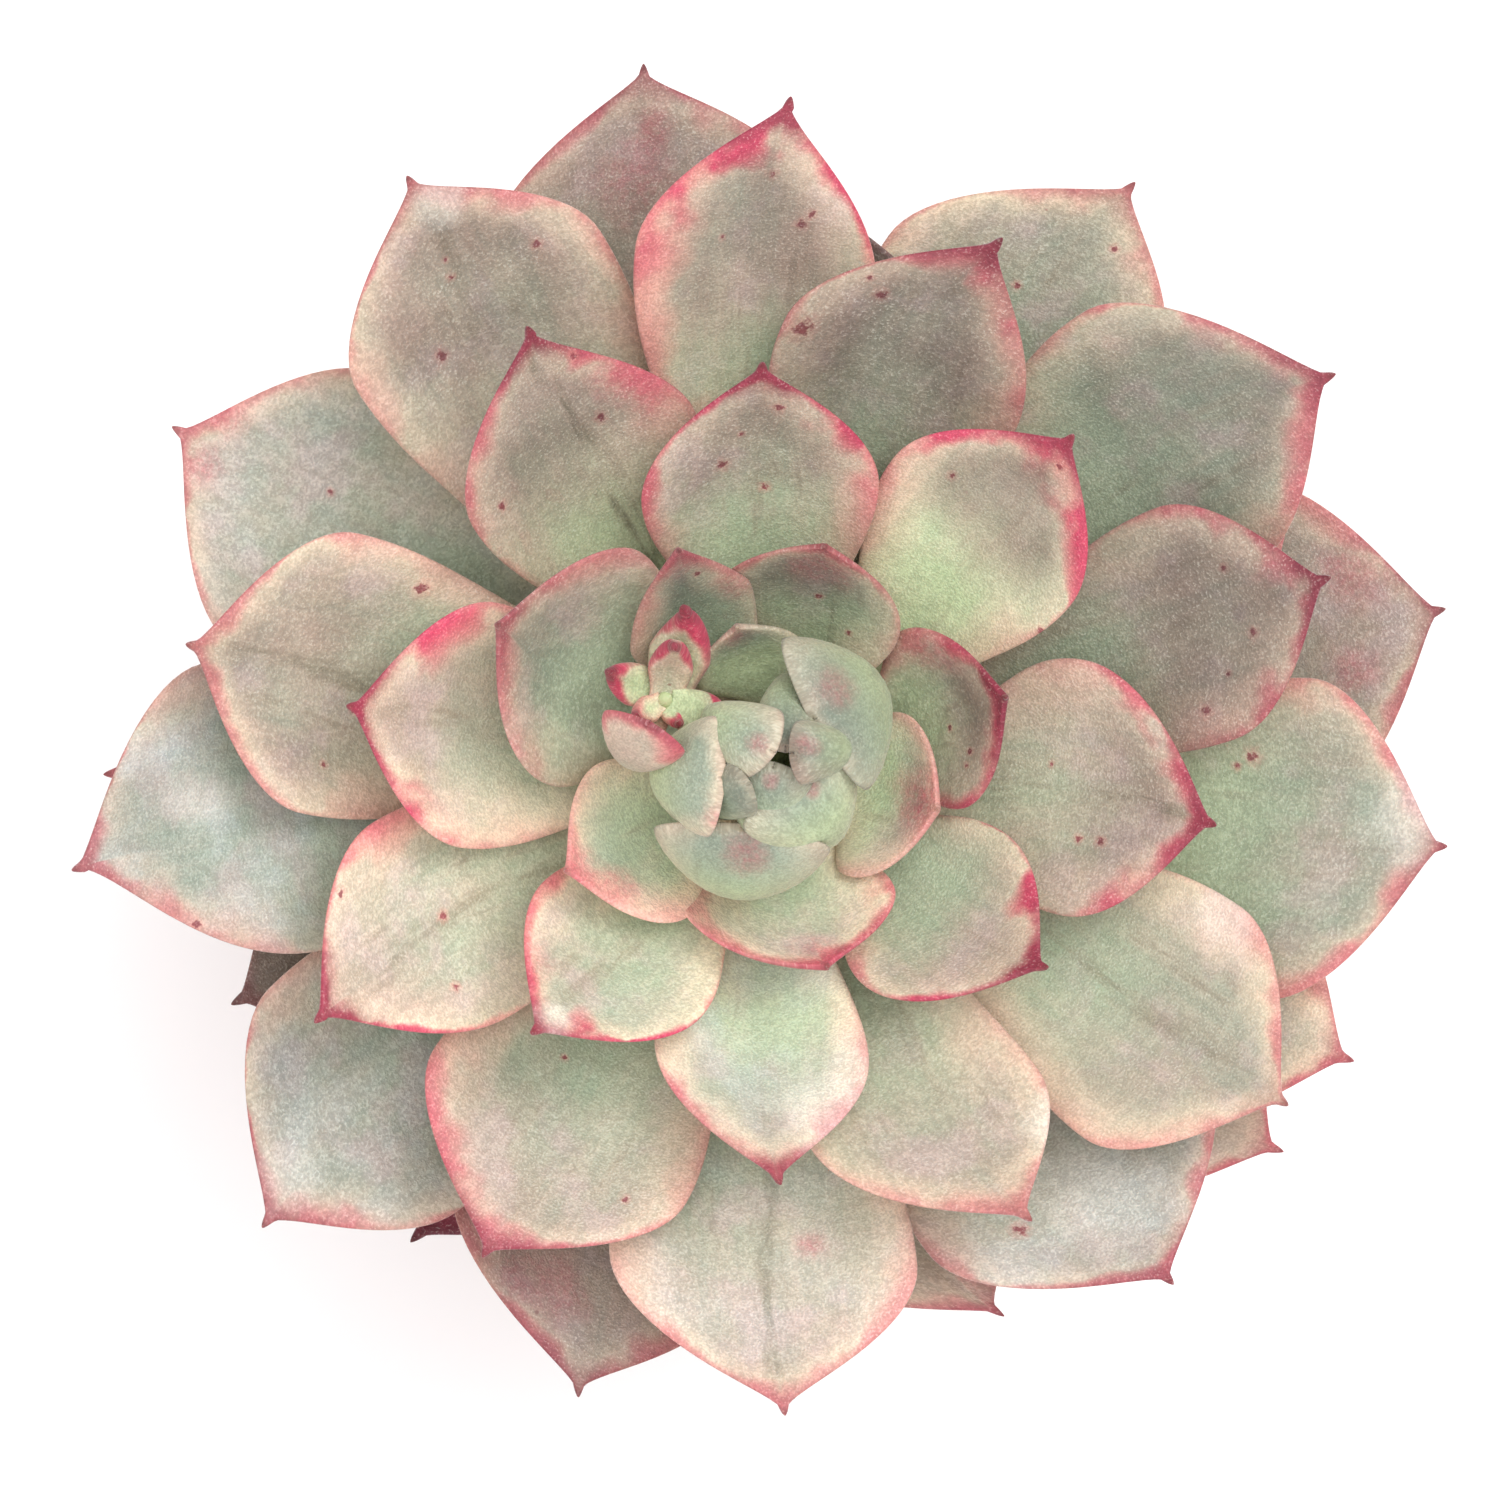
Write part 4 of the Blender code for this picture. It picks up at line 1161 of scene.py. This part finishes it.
POT_WALL = 4.2 * MM
POT_FLOOR = 5.5 * MM
POT_FOOT = 29 * MM  # radius
RIM_BAND = 16 * MM  # height of the rim's band
RIM_STEP = 2.6 * MM
DRAIN = 5 * MM  # radius
POT_ROUNDING = 1.6 * MM
THROWING_PITCH = 3.4 * MM
THROWING_DEPTH = 0.06 * MM
HAND_ALLOWANCE = 0.25 * MM  # keeps the uneven wall inside the true one
INSIDE_UNEVENNESS = 0.3  # as a share of the outside's
POT_SIDES = 200


def rounded(outline, radius, steps=6):
    """A closed outline with its corners turned into small curves."""
    points = []
    count = len(outline)
    for i, corner in enumerate(outline):
        before, after = outline[i - 1], outline[(i + 1) % count]
        to_before, to_after = before - corner, after - corner
        cut = min(radius, 0.4 * to_before.length, 0.4 * to_after.length)
        start = corner + cut * to_before.normalized()
        end = corner + cut * to_after.normalized()
        points += [curve_point(start, corner, end, step / steps) for step in range(steps + 1)]
    return points


def filled_in(points, spacing):
    """The same closed outline with no two points further apart than the spacing."""
    dense = []
    for i, point in enumerate(points):
        after = points[(i + 1) % len(points)]
        parts = max(1, math.ceil((after - point).length / spacing))
        dense += [point.lerp(after, part / parts) for part in range(parts)]
    return dense


def inner_wall(height):
    """The pot's inner radius at a height above its foot."""
    share = (height - POT_FLOOR) / (POT_TOP - POT_FLOOR)
    return POT_FOOT - POT_WALL + (RIM - POT_FOOT) * share


def pot_outline():
    band_foot = POT_TOP - RIM_BAND
    outline = (
        (RIM, POT_TOP),
        (RIM - 0.9 * MM, band_foot),
        (RIM - RIM_STEP - 1.2 * MM, band_foot - 0.4 * MM),
        (POT_FOOT, 0),
        (DRAIN, 0),
        (DRAIN, POT_FLOOR),
        (inner_wall(POT_FLOOR), POT_FLOOR),
        (RIM - POT_WALL, POT_TOP),
    )
    corners = [Vector((radius, height, 0)) for radius, height in outline]
    return filled_in(rounded(corners, POT_ROUNDING), 0.9 * MM)


def hand_made(radius, height, angle):
    """How far the thrown wall is off its true shape: throwing rings, slow wobble, small lumps."""
    where = Vector(ring_point(radius, angle, height))
    turn = 2 * math.pi * height / THROWING_PITCH + 0.4 * math.sin(angle)
    rings = THROWING_DEPTH * math.sin(turn)
    wobble = 0.16 * MM * noise.noise(where / (26 * MM))
    lumps = 0.10 * MM * noise.noise(where / (3.2 * MM))
    return rings + wobble + lumps - HAND_ALLOWANCE


def pot_mesh():
    outline = pot_outline()
    count = len(outline)
    coords = []
    for j in range(POT_SIDES):
        angle = 2 * math.pi * j / POT_SIDES
        for point in outline:
            middle = inner_wall(max(point.y, POT_FLOOR)) + 0.5 * POT_WALL
            side = INSIDE_UNEVENNESS if point.x < middle else 1.0
            off_foot = min(1.0, point.y / (6 * MM))
            radius = point.x + side * off_foot * hand_made(point.x, point.y, angle)
            coords.append(ring_point(radius, angle, point.y))
    faces = []
    for j in range(POT_SIDES):
        k = (j + 1) % POT_SIDES
        for i in range(count):
            m = (i + 1) % count
            faces.append((j * count + i, j * count + m, k * count + m, k * count + i))
    return smooth_mesh("pot_wall", coords, faces)


def clay_material(effects):
    """Fired red clay: sandy grain, pits with painted shade, fire-darkened patches, and pale salt
    from watering.
    """
    made, tree, shader = new_material("fired clay")
    place = object_place(tree)
    height = split(tree, place)["Z"]
    patches = mottled(tree, effects, place, 17, 0.38, 0.66)
    banding = vector_maths(tree, "MULTIPLY", place, (0.12, 0.12, 1.4))
    banded = mottled(tree, effects, banding, 2.0, 0.35, 0.7)
    salt = mottled(tree, effects, place, 6.5, 0.44, 0.62)
    salt_low = soft_step(tree, height, 34, 6, high=0.5)
    salt_rim = soft_step(tree, height, 60, 67.5, high=0.35)
    salty = product(tree, salt, total(tree, 0.12, salt_low, salt_rim))
    grains = use(tree, effects.grain, Place=place, Size=0.45)
    pits = flecked(tree, effects, place, 2.6, 0.32, 0.3)
    grog = flecked(tree, effects, place, 1.7, 0.22, 0.25)
    colour = coat(tree, patches, tone(190, 104, 70), tone(168, 86, 58))
    colour = coat(tree, product(tree, banded, 0.3), colour, tone(204, 124, 88))
    colour = coat(tree, product(tree, grog, 0.4), colour, tone(222, 168, 130))
    # painted shade in the pits, the small hollows that the bump sinks
    colour = coat(tree, product(tree, pits, 0.55), colour, tone(112, 56, 40))
    colour = coat(tree, salty, colour, tone(224, 204, 186))
    shade = soft_step(tree, grains["Grain"], 0, 1, low=0.0, high=0.22)
    colour = coat(tree, shade, colour, tone(132, 66, 46))
    wire(tree, colour, shader.inputs["Base Color"])
    roughen(tree, grains, shader, 0.95, 0.78)
    relief = total(tree, product(tree, grains["Grain"], 0.10), product(tree, pits, -0.25))
    bump(tree, relief, shader, 0.6)
    shader.inputs["Specular IOR Level"].default_value = 0.3
    return made


def throw_pot(clay):
    obj = show("pot_wall", pot_mesh())
    obj.data.materials.append(clay)
    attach(obj, "root")
    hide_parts("pot")


# ---------------------------------------------------------------- soil

SOIL_CROWN = 2.4 * MM  # how much higher the middle is than the edge
SOIL_EDGE = SOIL_HIGH.z - SOIL_CROWN
SOIL_SINK = 0.9 * MM  # room for the lumps
CRUMBS = 560
GRIT = 90


def soil_height(x, y):
    """The bed's surface: a low mound with hollows and lumps."""
    away = math.hypot(x, y) / inner_wall(SOIL_EDGE)
    where = Vector((x, y, 0))
    lumps = 0.9 * MM * noise.noise(where / (7 * MM)) + 0.5 * MM * noise.noise(where / (1.8 * MM))
    return SOIL_EDGE + SOIL_CROWN * (1 - away**2) - SOIL_SINK + lumps


def soil_bed_mesh():
    """The bed, closed underneath, with its edge against the pot's wall."""
    rings, sides = 46, 150
    rim_radius = inner_wall(SOIL_EDGE) - 0.15 * MM
    coords = [(0, 0, soil_height(0, 0))]
    for i in range(1, rings + 1):
        for j in range(sides):
            x, y, _ = ring_point(rim_radius * i / rings, 2 * math.pi * j / sides)
            coords.append((x, y, soil_height(x, y)))
    foot_radius = inner_wall(POT_FLOOR) - 0.3 * MM
    for j in range(sides):
        coords.append(ring_point(foot_radius, 2 * math.pi * j / sides, SOIL_LOW.z))
    faces = [(0, 1 + j, 1 + (j + 1) % sides) for j in range(sides)]
    faces += bands(rings + 1, sides, start=1, inwards=True)
    faces.append(tuple(reversed(range(1 + rings * sides, 1 + (rings + 1) * sides))))
    return smooth_mesh("soil_bed", coords, faces)


def lump(bm, centre, size, rng):
    """One crumb or stone: a small rounded body pushed out of shape."""
    made = bmesh.ops.create_icosphere(bm, subdivisions=2, radius=1.0)["verts"]
    stretch = Vector([rng.uniform(0.7, 1.2) for _ in range(3)])
    seed = Vector([rng.uniform(0, 50) for _ in range(3)])
    turn = Euler([rng.uniform(0, 6.3) for _ in range(3)]).to_quaternion()
    for vertex in made:
        wide, fine = noise.noise(vertex.co * 1.4 + seed), noise.noise(vertex.co * 4 + seed)
        rough = 1 + 0.35 * wide + 0.12 * fine
        vertex.co = centre + turn @ (vertex.co * stretch) * (0.5 * size * rough)


def scattered(name, count, low, high, seed):
    """Many lumps resting on the bed, as one mesh."""
    rng = random.Random(seed)
    bm = bmesh.new()
    reach = inner_wall(SOIL_EDGE) - 1.6 * MM
    for _ in range(count):
        away = reach * math.sqrt(rng.uniform(0.02, 1))
        angle = rng.uniform(0, 2 * math.pi)
        size = rng.triangular(low, high, low) * MM
        x, y, _ = ring_point(away, angle)
        lump(bm, Vector((x, y, soil_height(x, y) + 0.18 * size)), size, rng)
    mesh = bpy.data.meshes.new(name)
    bm.to_mesh(mesh)
    bm.free()
    mesh.shade_smooth()
    return mesh


def earth_material(effects, name, dark, light, dust_and_glint):
    """Loose potting earth or grit: a dark and a light tone, dry dust on top, painted glints, and
    crumbly bump.
    """
    made, tree, shader = new_material(name)
    place = object_place(tree)
    patches = mottled(tree, effects, place, 3.4, 0.36, 0.66)
    dry = mottled(tree, effects, place, 11, 0.42, 0.68)
    grains = use(tree, effects.grain, Place=place, Size=0.5)
    specks = flecked(tree, effects, place, 1.3, 0.2, 0.28)
    colour = coat(tree, patches, dark, light)
    colour = coat(tree, product(tree, dry, 0.45), colour, dust_and_glint)
    colour = coat(tree, product(tree, specks, 0.6), colour, dust_and_glint)
    # painted glints: the brightest grains made paler
    colour = coat(tree, product(tree, grains["Sparkle"], 0.35), colour, dust_and_glint)
    wire(tree, colour, shader.inputs["Base Color"])
    roughen(tree, grains, shader, 1.0, 0.85)
    relief = total(tree, product(tree, grains["Grain"], 0.3), product(tree, specks, 0.2))
    bump(tree, relief, shader, 0.8)
    shader.inputs["Specular IOR Level"].default_value = 0.25
    return made


def fill_pot(effects):
    dark, light, dust_and_glint = tone(58, 44, 34), tone(86, 66, 50), tone(128, 110, 90)
    earth = earth_material(effects, "potting earth", dark, light, dust_and_glint)
    dark, light, dust_and_glint = tone(150, 138, 122), tone(190, 180, 164), tone(214, 206, 190)
    stone = earth_material(effects, "pumice grit", dark, light, dust_and_glint)
    pieces = (
        (show("soil_bed", soil_bed_mesh()), earth),
        (show("soil_crumbs", scattered("soil_crumbs", CRUMBS, 0.8, 2.6, 11)), earth),
        (show("soil_grit", scattered("soil_grit", GRIT, 1.6, 4.2, 12)), stone),
    )
    for obj, finish in pieces:
        obj.data.materials.append(finish)
        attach(obj, "root")
        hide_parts("soil")


# ---------------------------------------------------------------- stem

SCAR_ROWS = 26  # leaves that the bare stem has lost
SCAR_STEP = 0.62 * MM
SCAR_HALF_WIDTH = 3.4 * MM
SCAR_BEND = 0.5 * MM
SCAR_LIP = 0.34 * MM  # how far it stands out
SCAR_WIDTH = 0.42 * MM
STEM_SIDES = 96


def scar_relief(turned, radius, above):
    """How far a scar lifts the wood at an angle to its side and a height above it."""
    across = turned * radius / SCAR_HALF_WIDTH
    if abs(across) >= 1:
        return 0
    off = (above - SCAR_BEND * (1 - across**2)) / SCAR_WIDTH
    lip, groove = math.exp(-(off**2)), math.exp(-((off + 1.6) ** 2))
    return SCAR_LIP * (1 - across**2) * (lip - 0.6 * groove)


def stem_outline(height):
    """The stem's radius at a height, from the soil up to its tip."""
    if height >= CROWN.z:
        return stem_radius((height - CROWN.z) / LEAF_RISE) - 0.5 * MM
    rise = (height - SOIL_EDGE) / (CROWN.z - SOIL_EDGE)
    return STEM_RADIUS * (0.95 - 0.14 * math.sin(math.pi * min(1, max(0, rise)) ** 0.8))


def stem_mesh():
    """Old wood with the crescent scars of fallen leaves, in the plant's own spiral."""
    scars = []
    for row in range(SCAR_ROWS):
        angle = math.radians(FIRST_AZIMUTH - GOLDEN_ANGLE * (row + 1))
        scars.append((angle, CROWN.z - SCAR_STEP * (row + 0.5)))
    low = SOIL_EDGE - 4 * MM
    rows = 150
    coords = []
    for i in range(rows):
        height = low + (STEM_HIGH.z - 0.3 * MM - low) * i / (rows - 1)
        for j in range(STEM_SIDES):
            angle = 2 * math.pi * j / STEM_SIDES
            radius = stem_outline(height)
            where = Vector(ring_point(radius, angle, height))
            bark = 0.22 * noise.noise(where / (1.1 * MM)) + 0.2 * noise.noise(where / (4 * MM))
            radius += bark * MM
            for scar_angle, scar_height in scars:
                turned = (angle - scar_angle + math.pi) % (2 * math.pi) - math.pi
                radius += scar_relief(turned, radius, height - scar_height)
            x, y, _ = ring_point(radius, angle)
            coords.append((AXIS.x + x, AXIS.y + y, height))
    return smooth_mesh("stem_wood", coords, tube_faces(rows, STEM_SIDES))


def bark_material(effects):
    """Dry corky bark low down, going over to green young stem among the leaves."""
    made, tree, shader = new_material("corky bark")
    place = object_place(tree)
    height = split(tree, place)["Z"]
    stretched = vector_maths(tree, "MULTIPLY", place, (1.0, 1.0, 0.3))
    cracks = mottled(tree, effects, stretched, 1.2, 0.4, 0.62)
    patches = mottled(tree, effects, place, 5, 0.35, 0.7)
    grains = use(tree, effects.grain, Place=place, Size=0.35)
    corks = flecked(tree, effects, place, 1.5, 0.3, 0.3)
    colour = coat(tree, patches, tone(148, 120, 88), tone(122, 98, 74))
    # painted shade in the cracks, which the bump sinks
    colour = coat(tree, product(tree, cracks, 0.5), colour, tone(92, 70, 52))
    colour = coat(tree, product(tree, corks, 0.5), colour, tone(176, 152, 120))
    young = soft_step(tree, height, 1000 * CROWN.z - 1, 1000 * CROWN.z + 9, high=0.9)
    colour = coat(tree, young, colour, tone(150, 166, 112))
    # painted glints on the brightest grains
    colour = coat(tree, product(tree, grains["Sparkle"], 0.25), colour, tone(208, 190, 160))
    wire(tree, colour, shader.inputs["Base Color"])
    roughen(tree, grains, shader, 0.92, 0.7)
    relief = total(tree, product(tree, grains["Grain"], 0.1), product(tree, cracks, -0.25))
    bump(tree, relief, shader, 0.7)
    return made


def grow_stem(bark):
    obj = show("stem_wood", stem_mesh())
    obj.data.materials.append(bark)
    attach(obj, "root")
    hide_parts("stem")


# ---------------------------------------------------------------- floor, light and camera

LIT = Vector((0, 0, 90 * MM))  # what the lights face
CAMERA_RISE = 2.4
VIEW_WIDTH = 130.4 * MM
AIM = AXIS + Vector((-3.04 * MM, 1.30 * MM, 90 * MM))


def floor():
    bpy.ops.mesh.primitive_plane_add(size=8)
    plane = bpy.context.object
    plane.name = "floor"
    made = bpy.data.materials.new("pale floor")
    made.use_nodes = True
    shader = made.node_tree.nodes["Principled BSDF"]
    shader.inputs["Base Color"].default_value = (0.95, 0.95, 0.95, 1)
    plane.data.materials.append(made)


def area_light(name, location, size, power):
    data = bpy.data.lights.new(name, "AREA")
    data.shape = "SQUARE"
    data.size = size
    data.energy = power
    obj = bpy.data.objects.new(name, data)
    obj.location = location
    obj.rotation_euler = (LIT - Vector(location)).to_track_quat("-Z", "Y").to_euler()
    bpy.context.scene.collection.objects.link(obj)


def studio():
    area_light("key", (0.8, 0.7, 1.5), 0.9, 20)
    area_light("fill", (-1.0, -0.3, 1.3), 1.4, 10)
    area_light("front", (0.2, -1.1, 1.2), 1.2, 7)
    area_light("top", (0.1, 0.15, 2.0), 1.0, 16)
    world = bpy.data.worlds.new("studio")
    world.use_nodes = True
    background = world.node_tree.nodes["Background"]
    background.inputs["Color"].default_value = (0.95, 0.97, 1.0, 1)
    background.inputs["Strength"].default_value = 0.5
    bpy.context.scene.world = world
    bpy.context.scene.view_settings.view_transform = "Standard"


def camera():
    """Straight above, on a long lens, with the plant a little right of and below the middle."""
    data = bpy.data.cameras.new("camera")
    data.sensor_width = 36
    data.lens = data.sensor_width * CAMERA_RISE / VIEW_WIDTH
    data.clip_end = 20
    obj = bpy.data.objects.new("camera", data)
    obj.location = AIM + Vector((0, 0, CAMERA_RISE))
    bpy.context.scene.collection.objects.link(obj)
    bpy.context.scene.camera = obj


def main():
    effects = Effects(mottling_group(), grain_group(), flecks_group(), mark_group())
    skin = leaf_material(effects)
    grow_leaves(skin)
    grow_offset(skin, shoot_material(effects))
    throw_pot(clay_material(effects))
    fill_pot(effects)
    grow_stem(bark_material(effects))
    floor()
    studio()
    camera()


main()
